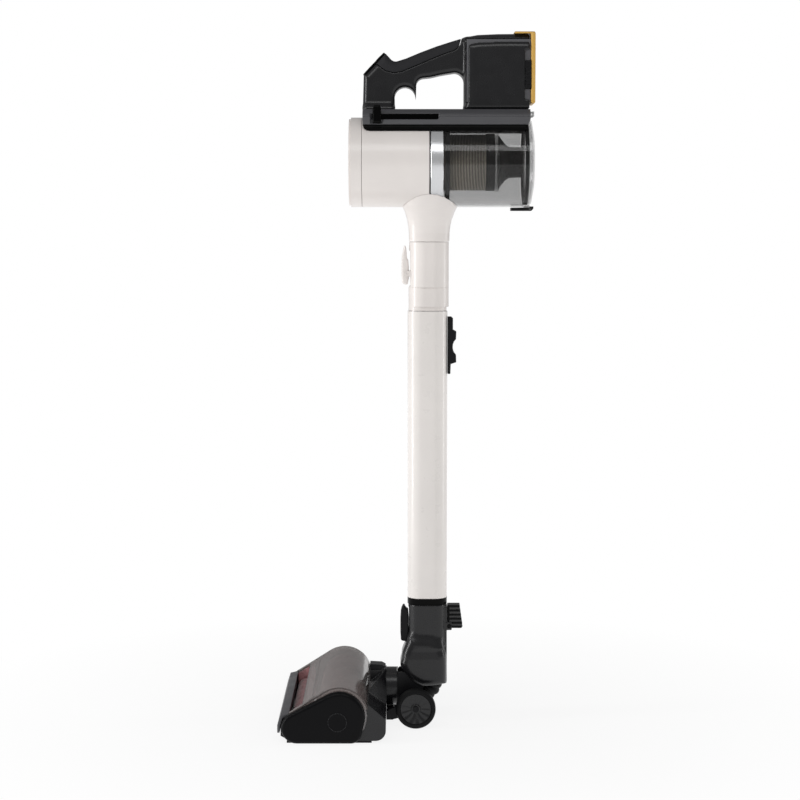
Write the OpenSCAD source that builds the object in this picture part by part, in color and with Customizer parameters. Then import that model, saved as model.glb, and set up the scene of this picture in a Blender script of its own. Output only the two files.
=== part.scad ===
// Cordless stick vacuum: a motorised floor head, a telescopic wand and a hand unit.
// Millimetres, +Z up, the floor at Z = 0 and the front of the floor head towards -X.
// X positions in the modules are measured from the wand's axis; at_wand() places them.

/* [Wand] */
// Distance from the middle of the base to the wand's axis
wand_x = 27.5; // [27:0.1:28]
// Half width of the outer tube, front to back
tube_half_x = 26; // [25.6:0.1:26]
// Half width of the outer tube, side to side
tube_half_y = 18; // [17.8:0.1:18.4]
// Wall of the outer and the inner tube
tube_wall = 1.6; // [1.2:0.1:1.8]
// Height of the outer tube's lower end
tube_bottom_z = 165; // [164:0.5:166]
// Height of the outer tube's upper end
tube_top_z = 543.4; // [540:0.1:544]
// How far the wand extends
extend_travel = 220; // [180:5:230]

/* [Hand unit] */
// Height of the barrel's axis above the floor
barrel_z = 736; // [736:0.1:736.2]
// Outer radius of the motor housing and the dust bin
barrel_r = 57.7; // [57.5:0.1:57.8]
// Wall of the motor housing
housing_wall = 2.6; // [2:0.1:3]
// Wall of the dust bin
bin_wall = 1.8; // [1.6:0.1:2.2]
// Half width of the grip
grip_half_y = 16; // [14:0.5:17]
// Half width of the battery housing
pack_half_y = 28; // [27.5:0.5:28.5]
// How far the compactor lever slides
press_travel = 70; // [60:1:70]

/* [Floor head] */
// Width of the floor head
head_w = 260; // [256:1:264]
// Radius of the clear hood
hood_r = 37.4; // [37:0.1:37.6]
// Radius of the brush over its tufts
brush_r = 29; // [27:0.5:29.5]
// Radius of the rear wheels
wheel_r = 26; // [25.5:0.1:26]
// Height of the swivel axis
swivel_z = 45; // [45:0.1:45.2]

/* [Hidden] */

$fn = 64;
hull_fn = 32;
run_gap = 0.05;
free_gap = 0.35;

// Colours
BEIGE = "#DDD8D4";
CHARCOAL = "#313134";
SOFT_BLACK = "#29292B";
GLOSS_BLACK = "#141416";
SMOKE = "#6E6A68";
SILVER = "#C6C8CA";
ORANGE = "#D9A23C";
BURGUNDY = "#7A2F3C";
GREY = "#6C6D70";

// Floor head stations
head_half = head_w / 2;
cap_t = 8;
cap_in = head_half - cap_t;
hood_c = [-112.8, 34.2];
hood_t = 2;
nose_c = [-167, 20.5];
nose_r = 20;
core_r = 17;
brush_half = 108;
front_c = [-164.5, 16];
front_r = 13;
tail_x = -54;
tail_r = 25;
tail_bore_r = 19;
wheel_c = [-15.4, wheel_r];
wheel_y0 = 43;
wheel_t = 12;
axle_r = 4;

// Neck stations
pivot_c = [-6, 60];
pivot_r = 4;
skirt_in = 19.4;
skirt_out = 25.5;
ear_in = 15.4;
neck_top_z = 156.6;
spigot_r = 15.5;
spigot_depth = 30;

// Wand stations
inner_half_x = tube_half_x - tube_wall - free_gap;
inner_half_y = tube_half_y - tube_wall - free_gap;
// Length of the inner tube left inside when the wand is drawn out
tube_overlap = 118.4;
inner_bottom_z = tube_top_z - extend_travel - tube_overlap;
collar_low_z = 549.1;
collar_mid_z = 574.3;
collar_top_z = 633.5;

// Hand unit stations
cap_x = [-101.7, -84.9];
housing_x = [-84.9, 1.5];
ring_x = [3.2, 19.4];
bin_x = [19.8, 123];
lid_x = [123.3, 133];
rail_z = [773.7, 803.3];
rail_half_y = 44;
deck_z = 803.4;
pack_x = [47, 131];
plate_x = [131.5, 137.5];

// Arc of n steps about c, from angle a0 to a1
function arc(c, r, a0, a1, n = 12) =
    [for (i = [0:n]) let (a = a0 + (a1 - a0) * i / n) c + r * [cos(a), sin(a)]];

module at_wand() { translate([wand_x, 0, 0]) children(); }

// An outline drawn in X and Z, w thick and centred on y
module plate_y(outline, w, y = 0) {
    translate([0, y + w / 2, 0]) rotate([90, 0, 0]) linear_extrude(w) polygon(outline);
}

// Round bar along Y between y0 and y1, at c = [x, z]
module bar_y(r, c, y0, y1) {
    translate([c[0], y1, c[1]]) rotate([90, 0, 0]) cylinder(r = r, h = y1 - y0);
}

// Round bar along X between x0 and x1, at height z
module bar_x(r, x0, x1, z = barrel_z, y = 0) {
    translate([x0, y, z]) rotate([0, 90, 0]) cylinder(r = r, h = x1 - x0);
}

// Tube along X
module ring_bar_x(r, r_in, x0, x1, z = barrel_z, y = 0) {
    difference() {
        bar_x(r, x0, x1, z, y);
        bar_x(r_in, x0 - 1, x1 + 1, z, y);
    }
}

// Plain block between two corners
module block(a, b) { translate(a) cube(b - a); }

// Upright column with round ends, hx by hy half widths, between z0 and z1
module column(hx, hy, z0, z1, x = 0) {
    for (s = [-1, 1]) translate([x + s * (hx - hy), 0, z0]) cylinder(r = hy, h = z1 - z0);
    block([x - hx + hy, -hy, z0], [x + hx - hy, hy, z1]);
}

module tube_column(hx, hy, wall, z0, z1) {
    difference() {
        column(hx, hy, z0, z1);
        column(hx - wall, hy - wall, z0 - 1, z1 + 1);
    }
}

// Direction of the outer normal of the line that touches circles a and b, [x, z, r] each,
// when the outline runs from a to b with its inside on the left
function touch_angle(a, b) =
    let (d = [b[0] - a[0], b[1] - a[1]])
    atan2(d[1], d[0]) - 90 + asin((a[2] - b[2]) / norm(d));

function turn(a) = a - 360 * floor(a / 360);

// Outline of a cord pulled tight round circles listed anticlockwise, grown by g
function wrap(cs, g = 0, n = 12) = [
    for (i = [0:len(cs) - 1])
    let (
        a0 = touch_angle(cs[(i + len(cs) - 1) % len(cs)], cs[i]),
        a1 = a0 + turn(touch_angle(cs[i], cs[(i + 1) % len(cs)]) - a0)
    )
    each arc([cs[i][0], cs[i][1]], cs[i][2] + g, a0, a1, n)
];

// ---- Floor head -------------------------------------------------------------------------

HOOD_CIRCLES = [[hood_c[0], hood_c[1], hood_r], [nose_c[0], nose_c[1], nose_r]];
CAP_CIRCLES = [[-98.5, 14, 14], [hood_c[0], hood_c[1], hood_r - 4.9], [nose_c[0], 20, 20]];
cap_rim = 2.5;
window_x = [-178, -160];
window_half = 112;
hood_rear_z = 43.5;
motor_c = [-68, 20];
motor_r = 10.5;
belt_y = [112.6, 118.6];
pulley_r = [15, 5];
belt_t = 1.2;
hub_pin_r = 5;
roller_pin_r = 3;
knob_c = [-115.5, 28.2];
knob_r = 13.2;
chamber_r = 35;

module chamber_cut() {
    bar_y(chamber_r, hood_c, -head_half, head_half);
    block([nose_c[0] - nose_r, -head_half, 2.4], [hood_c[0], head_half, hood_c[1]]);
}

module rear_housing() {
    body = concat(
        [[-100, 2.4]],
        arc([tail_x - 13, 15.4], 13, -90, 0),
        [[tail_x, 30], [-77, 50], [-77, hood_rear_z], [-84, hood_rear_z]]
    );
    color(CHARCOAL) at_wand() difference() {
        union() {
            plate_y(body, 2 * cap_in - 0.6);
            bar_x(tail_r, tail_x - 1, -40, swivel_z);
            // Faceted socket that gathers the air from the chamber into the swivel
            hull() {
                block([-77.2, -58, 44], [-76.7, 58, 51.5]);
                block([-55.5, -10, 26], [tail_x, 10, 69.8]);
                block([-55.5, -46, 24], [tail_x, 46, 31]);
            }
            block([-75.5, -12, 45], [tail_x - 1, 12, 68.7]);
        }
        chamber_cut();
        intersection() {
            bar_y(hood_r, hood_c, -head_half, head_half);
            block([-90, -head_half, hood_rear_z], [-60, head_half, 90]);
        }
        bar_x(9, -90, -58, 40);
        bar_x(tail_bore_r, tail_x - 4.3, -39, swivel_z);
        bar_y(motor_r + 1, motor_c, 30, cap_in + 1);
        block([-84, belt_y[0] - 1, 6], [motor_c[0], cap_in + 1, 38]);
        block([-72, -cap_in + 6, 10], [tail_x - 3, -50, 28]);
    }
}

carrier_y = [30, 41];

module wheel_carrier() {
    color(CHARCOAL) at_wand() {
        block([tail_x + 0.2, -carrier_y[1], 9], [-45, carrier_y[1], 19]);
        for (s = [-1, 1]) {
            plate_y(wrap([[-48, 14, 5], [wheel_c[0], wheel_c[1], 9], [-48, 18, 5]]),
                carrier_y[1] - carrier_y[0], s * (carrier_y[0] + carrier_y[1]) / 2);
            bar_y(axle_r, wheel_c, min(s * carrier_y[1], s * (wheel_y0 + wheel_t + 1)),
                max(s * carrier_y[1], s * (wheel_y0 + wheel_t + 1)));
        }
    }
}

module rear_wheel(s) {
    y0 = min(s * wheel_y0, s * (wheel_y0 + wheel_t));
    at_wand() difference() {
        bar_y(wheel_r, wheel_c, y0, y0 + wheel_t);
        bar_y(axle_r + run_gap, wheel_c, y0 - 1, y0 + wheel_t + 1);
        // Dished outer face
        translate([wheel_c[0], s * (wheel_y0 + wheel_t + 0.1), wheel_c[1]]) rotate([s * 90, 0, 0])
            difference() {
                cylinder(r1 = 19.7, r2 = 7, h = 4);
                translate([0, 0, -1]) cylinder(r = 6.5, h = 6);
            }
    }
}

module wheel_left() { color(SOFT_BLACK) rear_wheel(-1); }
module wheel_right() { color(SOFT_BLACK) rear_wheel(1); }

module sole_plate() {
    color(SOFT_BLACK) at_wand() difference() {
        block([-180, -cap_in + 0.4, 0], [-72, cap_in - 0.4, 2.2]);
        block([-140, -109, -1], [-94, 109, 4]);
        block([-175, -window_half, -1], [-152, window_half, 4]);
    }
}

module clear_hood() {
    color(SMOKE, 0.55) at_wand() intersection() {
        difference() {
            plate_y(wrap(HOOD_CIRCLES, 0, 24), 2 * cap_in - 0.4);
            plate_y(wrap(HOOD_CIRCLES, -hood_t, 24), 2 * cap_in + 2);
        }
        union() {
            block([window_x[1], -head_half, hood_rear_z], [-70, head_half, 90]);
            for (s = [-1, 1]) translate([0, s * (window_half + cap_in) / 2, 0])
                block([window_x[0], (window_half - cap_in) / 2, 36],
                    [window_x[1] + 1, (cap_in - window_half) / 2, 90]);
        }
    }
}

// The left cap has s = -1; s = 1 gives the right cap
module end_cap(s) {
    inner_t = cap_t - cap_rim;
    difference() {
        union() {
            plate_y(wrap(CAP_CIRCLES), inner_t, s * (cap_in + inner_t / 2));
            plate_y(wrap(CAP_CIRCLES, -2.2), cap_rim, s * (head_half - cap_rim / 2));
            bar_y(hub_pin_r, hood_c, min(s * 104, s * (cap_in + 1)), max(s * 104, s * (cap_in + 1)));
        }
        bar_y(roller_pin_r + run_gap, front_c, min(s * (cap_in - 1), s * (cap_in + 4)),
            max(s * (cap_in - 1), s * (cap_in + 4)));
        if (s < 0) {
            bar_y(knob_r + 0.2, knob_c, -head_half - 1, -head_half + 3);
            bar_y(4 + run_gap, knob_c, -head_half, -head_half + 5);
        }
    }
}

module end_cap_left() { color(GLOSS_BLACK) at_wand() end_cap(-1); }
module end_cap_right() { color(GLOSS_BLACK) at_wand() end_cap(1); }

module roller_lock_knob() {
    color(GLOSS_BLACK) at_wand() difference() {
        union() {
            bar_y(knob_r, knob_c, -head_half, -head_half + 2.8);
            bar_y(4, knob_c, -head_half + 2, -head_half + 4.8);
        }
        // Ring of dimples for the finger tips
        for (a = [0:15:345]) translate([knob_c[0], -head_half, knob_c[1]]) rotate([0, a, 0])
            translate([11.4, -0.1, 0]) rotate([-90, 0, 0]) cylinder(r = 0.5, h = 0.5, $fn = 12);
    }
}

module front_bumper() {
    bar = [[-192.4, 12], [-188.9, 12], [-188.4, 21], [-185, 31], [-178.4, 34.2], [-178.4, 37],
           [-188.4, 34.6], [-192.4, 22]];
    color(CHARCOAL) at_wand() plate_y(bar, 2 * (cap_in - 3));
}

module drive_motor() {
    color(GREY) at_wand() {
        bar_y(motor_r, motor_c, 34, 104);
        bar_y(2, motor_c, 104, 120);
    }
}

module motor_pulley() {
    color(SILVER) at_wand() difference() {
        bar_y(pulley_r[1], motor_c, belt_y[0], belt_y[1]);
        bar_y(2 + run_gap, motor_c, belt_y[0] - 1, belt_y[1] + 1);
    }
}

module drive_belt() {
    belt_circles = [[motor_c[0], motor_c[1], pulley_r[1]], [hood_c[0], hood_c[1], pulley_r[0]]];
    color(SOFT_BLACK) at_wand() difference() {
        plate_y(wrap(belt_circles, free_gap + belt_t, 20), 5, (belt_y[0] + belt_y[1]) / 2);
        plate_y(wrap(belt_circles, free_gap, 20), 7, (belt_y[0] + belt_y[1]) / 2);
    }
}

module brush_core() {
    color(GREY) at_wand() difference() {
        union() {
            bar_y(core_r, hood_c, -brush_half, brush_half);
            bar_y(10, hood_c, -119, 119);
            bar_y(pulley_r[0], hood_c, belt_y[0], belt_y[1]);
        }
        bar_y(hub_pin_r + run_gap, hood_c, -121, -100);
        bar_y(hub_pin_r + run_gap, hood_c, 100, 121);
    }
}

module brush_tufts() {
    color(BURGUNDY) at_wand() difference() {
        bar_y(brush_r, hood_c, -brush_half, brush_half);
        bar_y(core_r, hood_c, -brush_half - 1, brush_half + 1);
    }
}

module front_roller() {
    color(BURGUNDY) at_wand() {
        bar_y(front_r, front_c, -window_half + 1, window_half - 1);
        bar_y(roller_pin_r, front_c, -cap_in - 3, cap_in + 3);
    }
}

module roller_release() {
    tab = [[-75.5, 69], [-62.5, 69], [-61.5, 70.4], [-57, 70.4], [-55, 72.4], [-60, 75.2], [-75.5, 76]];
    color(SOFT_BLACK) at_wand() plate_y(tab, 20);
}

// ---- Swivel and neck --------------------------------------------------------------------

outlet_c = [-22, 38];
bellows_r = 14.5;
bellows_wall = 2;
bellows_turn = [-8, 52];
skirt_ceiling = 86;
button_x = [-35.5, -24.3];
pedal_pivot = [29, 127.5];
pedal_half = 9;

module swivel_yoke() {
    ear = wrap([[-36, 28, 4], [-10, 46, 3], [pivot_c[0], pivot_c[1], 9], [-34, 62, 5]]);
    color(SOFT_BLACK) at_wand() difference() {
        union() {
            bar_x(tail_bore_r - run_gap, tail_x - 4, -38.6, swivel_z);
            bar_x(tail_r, -39.7, -38.6, swivel_z);
            block([-38.7, -skirt_in + 0.7, 23], [outlet_c[0], skirt_in - 0.7, 62]);
            for (s = [-1, 1]) plate_y(ear, skirt_in - 0.7 - ear_in, s * (skirt_in - 0.7 + ear_in) / 2);
        }
        bar_x(16.5, tail_x - 5, -30, swivel_z);
        bar_x(bellows_r - bellows_wall, -31, outlet_c[0] + 1, outlet_c[1]);
        bar_y(pivot_r + run_gap, pivot_c, -skirt_in, skirt_in);
    }
}

module pivot_pins() {
    color(GREY) at_wand() for (s = [-1, 1])
        bar_y(pivot_r, pivot_c, min(s * ear_in, s * skirt_out), max(s * ear_in, s * skirt_out));
}

module neck_shell() {
    skirt = concat(
        [[-25, 112], [-28, 105.5], [-32, 97]],
        arc([-18.5, 78], 17, 145, 205, 8),
        [[-22, 55.5], [-12, 48.4], [-1, 46.3], [23.3, 50], [26, 54], [24, 112]]
    );
    color(SOFT_BLACK) at_wand() difference() {
        union() {
            column(25, 20.5, 100, neck_top_z);
            plate_y(skirt, 2 * skirt_out);
            for (s = [-1, 1]) block([20, s * 11 - 1.6, 122], [32.6, s * 11 + 1.6, 134]);
        }
        // Room for the yoke's ears and the hose, open below
        block([-32.5, -skirt_in, 40], [21.5, skirt_in, skirt_ceiling]);
        block([-40, -skirt_in, 40], [0, skirt_in, 68]);
        block([10, -skirt_in, 40], [30, skirt_in, 74]);
        bar_y(pivot_r, pivot_c, -40, 40);
        // Air way and socket for the wand
        translate([0, 0, skirt_ceiling - 1]) cylinder(r = 13, h = 60);
        translate([0, 0, neck_top_z - spigot_depth]) cylinder(r = spigot_r + run_gap, h = 40);
        block([-30, -7.6, 105.4], [-20.8, 7.6, 151]);
        bar_y(2.5 + run_gap, pedal_pivot, -20, 20);
    }
    // Stub that the hose is pushed onto
    color(SOFT_BLACK) at_wand() difference() {
        translate([6, 0, 53.2]) cylinder(r = bellows_r, h = skirt_ceiling - 53.2);
        translate([6, 0, 50]) cylinder(r = bellows_r - bellows_wall, h = 40);
    }
}

module neck_button() {
    face = [[button_x[1], 106], [-33, 106], [button_x[0], 109], [button_x[0], 146], [-33, 153],
            [-30.5, 155], [-28, 150], [button_x[1], 148]];
    color(SOFT_BLACK) at_wand() difference() {
        plate_y(face, 14);
        for (z = [138.5:2.8:149.8]) block([button_x[0] - 1, -8, z], [button_x[0] + 0.7, 8, z + 1.2]);
    }
}

module foot_pedal() {
    tread = [[26.4, 124], [45.6, 124], [47, 126], [43, 155], [26.4, 155]];
    color(SOFT_BLACK) at_wand() {
        difference() {
            plate_y(tread, 2 * pedal_half);
            for (z = [127:5.5:149.1]) block([30, -pedal_half - 1, z], [60, pedal_half + 1, z + 2.4]);
            bar_y(2.5, pedal_pivot, -pedal_half - 1, pedal_half + 1);
        }
        bar_y(2.5, pedal_pivot, -12.6, 12.6);
    }
}

module bellows_hose() {
    bend_r = bellows_turn[1] - outlet_c[1];
    color(SOFT_BLACK) at_wand() {
        ring_bar_x(bellows_r, bellows_r - bellows_wall, outlet_c[0] + 0.1, bellows_turn[0], outlet_c[1]);
        translate([bellows_turn[0], 0, bellows_turn[1]]) rotate([90, 0, 0])
            rotate([0, 0, -90]) rotate_extrude(angle = 90) translate([bend_r, 0]) difference() {
                circle(r = bellows_r - 0.6);
                circle(r = bellows_r - bellows_wall);
            }
        translate([bellows_turn[0] + bend_r, 0, bellows_turn[1]]) difference() {
            cylinder(r = bellows_r, h = 1.1);
            translate([0, 0, -1]) cylinder(r = bellows_r - bellows_wall, h = 4);
        }
    }
}

// ---- Wand -------------------------------------------------------------------------------

module tube_end_ring() {
    color(GLOSS_BLACK) at_wand() difference() {
        union() {
            column(tube_half_x + 0.1, tube_half_y + 0.3, neck_top_z + 0.2, tube_bottom_z);
            translate([0, 0, neck_top_z - spigot_depth + 0.5]) cylinder(r = spigot_r, h = spigot_depth);
        }
        translate([0, 0, 100]) cylinder(r = spigot_r - 2, h = 80);
    }
}

module outer_tube() {
    color(BEIGE) at_wand() tube_column(tube_half_x, tube_half_y, tube_wall, tube_bottom_z, tube_top_z);
}

module length_slider() {
    face = concat(
        [[tube_half_x + 0.35, 461], [29.9, 461], [30.4, 474], [37.9, 476]],
        arc([47.5, 496.5], 14.5, 225, 135, 8),
        [[37.9, 517], [33.2, 519], [33.2, 534], [31, 536], [tube_half_x + 0.35, 536]]
    );
    color(SOFT_BLACK) at_wand() plate_y(face, 15);
}

module inner_tube() {
    color(SILVER) at_wand()
        tube_column(inner_half_x, inner_half_y, tube_wall, inner_bottom_z, collar_mid_z - 0.2);
}

module lower_collar() {
    color(BEIGE) at_wand() difference() {
        column(25.7, 19, collar_low_z, collar_mid_z, 1.75);
        column(inner_half_x, inner_half_y, collar_low_z - 1, collar_mid_z + 1);
    }
}

socket_r = 17;
socket_z = 601;
latch_pivot = [-26.6, 592];
latch_pin_r = 1.6;

module upper_collar() {
    color(BEIGE) at_wand() difference() {
        union() {
            column(25.75, 20.5, collar_mid_z, collar_top_z - 0.3, 1.75);
            for (s = [-1, 1])
                plate_y(wrap([[-10, latch_pivot[1], 6], [latch_pivot[0], latch_pivot[1], 3.4]]),
                2.6, s * 9);
        }
        bar_y(latch_pin_r + run_gap, latch_pivot, -20, 20);
        translate([0, 0, collar_mid_z - 1]) cylinder(r = 14, h = 80);
        translate([0, 0, socket_z]) cylinder(r = socket_r + run_gap, h = 40);
        block([-30, -7.6, 576], [-19.6, 7.6, 622]);
    }
}

module release_latch() {
    lever = [[-24.6, 578], [-31.5, 578], [-34.2, 581], [-34.2, 611.7], [-30.6, 628], [-29.2, 629],
             [-28.2, 626], [-29.4, 612], [-24.6, 609]];
    color(BEIGE) at_wand() {
        difference() {
            plate_y(lever, 14);
            block([-40, -8, 611.4], [-33.6, 8, 612]);
        }
        bar_y(latch_pin_r, latch_pivot, -10.2, 10.2);
    }
}

// ---- Hand unit: barrel ------------------------------------------------------------------

neck_half = [25.5, 22];
saddle_half = [34.7, 42];
saddle_x = 2.7;
rod_yz = [-30, 772.2];
rod_r = 2;
rail_cut_r = barrel_r + free_gap;
lid_pivot = [134, 797.6];

module motor_housing() {
    color(BEIGE) at_wand() difference() {
        bar_x(barrel_r, housing_x[0], housing_x[1]);
        bar_x(barrel_r - housing_wall, housing_x[0] - 1, housing_x[1] - 3.5);
        bar_x(24, -10, 10);
        // Air way up from the wand
        translate([0, 0, 660]) cylinder(r = 15, h = 40);
        // Way for the compactor's arm
        block([-72.5, -48, 768.4], [3, -28, 786]);
    }
}

module inlet_neck() {
    color(BEIGE) at_wand() difference() {
        union() {
            hull() {
                column(neck_half[0], neck_half[1], collar_top_z, collar_top_z + 0.5, 2, $fn = hull_fn);
                column(30.4, 25, 672, 672.5, saddle_x, $fn = hull_fn);
            }
            hull() {
                column(30.4, 25, 672, 672.5, saddle_x, $fn = hull_fn);
                column(saddle_half[0], 34, 679, 679.5, saddle_x, $fn = hull_fn);
            }
            column(saddle_half[0] - 8.6, 26, 679.5, 697.5, saddle_x);
            translate([0, 0, socket_z + 0.4]) cylinder(r = socket_r, h = 40);
        }
        bar_x(rail_cut_r, -60, 60);
        translate([0, 0, 590]) cylinder(r = 14, h = 120);
    }
}

module trim_ring() {
    color(SILVER) at_wand() ring_bar_x(barrel_r, 54, ring_x[0], ring_x[1]);
    color(GLOSS_BLACK) at_wand() difference() {
        bar_x(54, ring_x[1] - 3, ring_x[1]);
        bar_x(30, ring_x[1] - 4, ring_x[1] + 1);
        bar_x(rod_r + 1, 0, 30, rod_yz[1], rod_yz[0]);
    }
}

module mesh_screen() {
    color("#9A9184") at_wand() ring_bar_x(37, 36.2, ring_x[1] + 0.1, 75);
}

module screen_collar() {
    color(GLOSS_BLACK) at_wand() {
        ring_bar_x(37, 33, 75, 86.4);
        ring_bar_x(38, 34, 86.4, 91);
    }
}

module cyclone_bell() {
    profile = concat([[91, 0], [91, 35.5]], [for (i = [1:8]) [91 + 2 * i, 35.5 - 15.5 * sin(90 * i / 8)]],
        [[121, 19.5], [121, 0]]);
    color(GLOSS_BLACK) at_wand() translate([0, 0, barrel_z]) rotate([0, 90, 0])
        difference() {
            rotate_extrude() polygon([for (p = profile) [p[1], p[0]]]);
            translate([0, 0, 90]) cylinder(r = 17, h = 28);
        }
}

module dust_bin() {
    color(SMOKE, 0.35) at_wand() {
        ring_bar_x(barrel_r, barrel_r - bin_wall, bin_x[0], bin_x[1]);
        // Ears of the lid's hinge
        for (s = [-1, 1]) difference() {
            plate_y([[108, 794.2], [137, 794.2], [137, 801], [112, 801]], 4, s * 11.2);
            bar_x(barrel_r - 0.1, 100, 140);
            bar_y(2 + run_gap, lid_pivot, -20, 20);
        }
        difference() {
            for (s = [-1, 1]) block([108, s * 11.2 - 2, 788], [122.9, s * 11.2 + 2, 794.3]);
            bar_x(barrel_r - 0.1, 100, 140);
        }
    }
}

module bin_lid() {
    x0 = lid_x[0];
    r = barrel_r - 0.2;
    shell = [[0, x0 + 2], [r - 2, x0 + 2], [r - 2, x0], [r, x0], [r, x0 + 6], [r - 4, x0 + 10.5],
             [r - 20, x0 + 13.4], [0, x0 + 13.7], [0, x0 + 12], [r - 21, x0 + 11.8],
             [r - 5.4, x0 + 9.2], [r - 2, x0 + 5.4], [r - 2, x0 + 3.6], [0, x0 + 3.6]];
    color(SMOKE, 0.45) at_wand() {
        translate([0, 0, barrel_z]) rotate([0, 90, 0]) rotate_extrude() polygon(shell);
        difference() {
            plate_y([[x0 + 0.7, 789], [x0 + 5.8, 789], [137, 796], [137, 801], [130, 801],
                [x0 + 0.7, 794]], 17);
            bar_x(barrel_r - 1, 100, 140);
        }
        bar_y(2, lid_pivot, -13, 13);
        // Ears and pin of the latch
        for (s = [-1, 1])
            plate_y([[125, 674], [135, 674], [135, 678], [129, 682], [125, 682]], 2, s * 13.4);
        bar_y(1, latch_pin, -13.4, 13.4);
    }
}

latch_pin = [133, 675.6];

module lid_latch() {
    hook = [[108, 673.4], [134, 673.4], [136.6, 676], [137.2, 683.5], [134, 684.5], [133.4, 678],
            [108, 677.6]];
    color(SMOKE, 0.45) at_wand() difference() {
        plate_y(hook, 24);
        bar_x(rail_cut_r, 100, 140);
        bar_y(1 + run_gap, latch_pin, -13, 13);
    }
}

module compactor_ring() {
    color(SOFT_BLACK) at_wand() {
        ring_bar_x(barrel_r - bin_wall - 0.6, 38.6, 22.5, 27.5);
        bar_x(rod_r, -68.5, 22.6, rod_yz[1], rod_yz[0]);
    }
}

slot_z = [783, 794];
slot_end = press_travel - 61;
rail_c = [-73.5, 784.2];

module compactor_lever() {
    thumb = [[-71, 784.6], [-60, 784.6], [-60, 804], [-62, 808], [-69, 808], [-71, 804]];
    color(GLOSS_BLACK) at_wand() {
        difference() {
            plate_y(thumb, 8, -44.5);
            for (i = [0, 1]) block([-72, -50, 802 + 3 * i], [-59, -47.3, 803 + 3 * i]);
        }
        block([-71, -41, 785], [-68.5, -30, 788]);
        block([-71, -33, 772.2], [-68.5, -28.4, 785.5]);
    }
}

module chassis_rail() {
    side = concat([[131, rail_z[1]], [rail_c[0] - 10.5, rail_z[1]]],
        arc(rail_c, 10.5, 180, 270, 6),
        [[124, rail_z[0]], [131, 790]]);
    color(GLOSS_BLACK) at_wand() difference() {
        intersection() {
            plate_y(side, 2 * rail_half_y);
            // Sloping shoulders
            rotate([90, 0, 90]) translate([0, 0, -100]) linear_extrude(300)
                polygon([[-rail_half_y, rail_z[0]], [rail_half_y, rail_z[0]], [rail_half_y, 797],
                    [pack_half_y + 2, rail_z[1]], [-pack_half_y - 2, rail_z[1]], [-rail_half_y, 797]]);
        }
        bar_x(rail_cut_r, -90, 140);
        // Slot for the compactor's lever
        block([-73, -rail_half_y - 1, slot_z[0]], [slot_end, -36, slot_z[1]]);
        bar_y(5.5, [slot_end, 788.5], -rail_half_y - 1, -36);
        block([-73, -rail_half_y - 6, slot_z[1] - 1], [12, -37.5, 812]);
        block([-72.5, -37, 770], [4, -26, 789]);
        // Hollow over the barrel
        block([-80, -33, 780], [100, 33, 800]);
        // Room for the lid's hinge
        block([106, -14, 790], [140, 14, 801.4]);
    }
}

// ---- Hand unit: motor and filters -------------------------------------------------------

shaft_r = 3;

module suction_motor() {
    color(GREY) at_wand() {
        bar_x(32, -80, -44);
        bar_x(24, -44, -38);
        bar_x(shaft_r, -38, -15);
    }
}

module impeller() {
    color(SILVER) at_wand() difference() {
        union() {
            bar_x(32, -34, -32);
            bar_x(9, -32, -18);
            for (a = [0:40:320]) translate([-32, 0, barrel_z]) rotate([a, 0, 0])
                block([0, 8, -0.8], [9, 31, 0.8]);
        }
        bar_x(shaft_r + run_gap, -40, 0);
    }
}

cap_rim_x = cap_x[1] - 0.3;

module exhaust_cap() {
    color(BEIGE) at_wand() difference() {
        union() {
            bar_x(barrel_r, cap_x[0] + 2.5, cap_rim_x);
            bar_x(barrel_r - 2, cap_x[0], cap_x[0] + 2.6);
        }
        bar_x(barrel_r - housing_wall, cap_x[0] + 2.6, cap_rim_x + 1);
        // Exhaust slots
        for (a = [0:15:345]) translate([cap_x[0] - 1, 0, barrel_z]) rotate([a, 0, 0])
            block([0, 22, -1.4], [5, 46, 1.4]);
    }
}

module hepa_filter() {
    color("#F2F0EA") at_wand() ring_bar_x(52, 20, cap_x[0] + 3, cap_rim_x - 0.4);
}

// ---- Hand unit: handle ------------------------------------------------------------------

panel_foot = [-84, 848];
panel_top = [-56.3, 877];
panel_len = norm(panel_top - panel_foot);
panel_a = atan2(panel_top[1] - panel_foot[1], panel_top[0] - panel_foot[0]);
panel_t = 3;
PANEL_SEAT = [for (p = [panel_foot, panel_top]) p + panel_t * [sin(panel_a), -cos(panel_a)]];

// Line along which the soft pad meets the hard shell, front to back
PAD_LINE = [PANEL_SEAT[0] + 0.66 * (PANEL_SEAT[1] - PANEL_SEAT[0]), [-54.5, 852.8],
            [-44.3, 850.2], [-34.3, 851.5], [3.6, 867.4], [23.7, 875.3], [36.7, 880.4],
            [42.8, 888.9], [43.8, 895]];
TOP_LINE = [[-47, 867], [-41, 865], [-29, 868.6], [-9.6, 876.6], [11.4, 884.4], [30, 890.3]];

// Finger ring and grip opening as one outline
GRIP_OPENING = concat(
    arc([38.3, 811.4], 8, -90, 0, 6),
    arc([34, 838], 12.3, 0, 90, 8),
    [[16.7, 847.5], [3.6, 844.5]],
    arc([-5.5, 834], 9.5, 100, 170, 6),
    [[-15.3, 822.5], [-15.4, 814]],
    arc([-29.5, 818.6], 13.4, 10, 190, 14),
    arc([-34.6, 811.6], 8.2, 190, 270, 6)
);

pack_case = [[49.5, 131.2], 24.6, [812, 892]];
pack_room = [48.4, 25.4, [811.6, 893]];
case_wall = 1.6;
latch_sink = 1.4;

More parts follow.
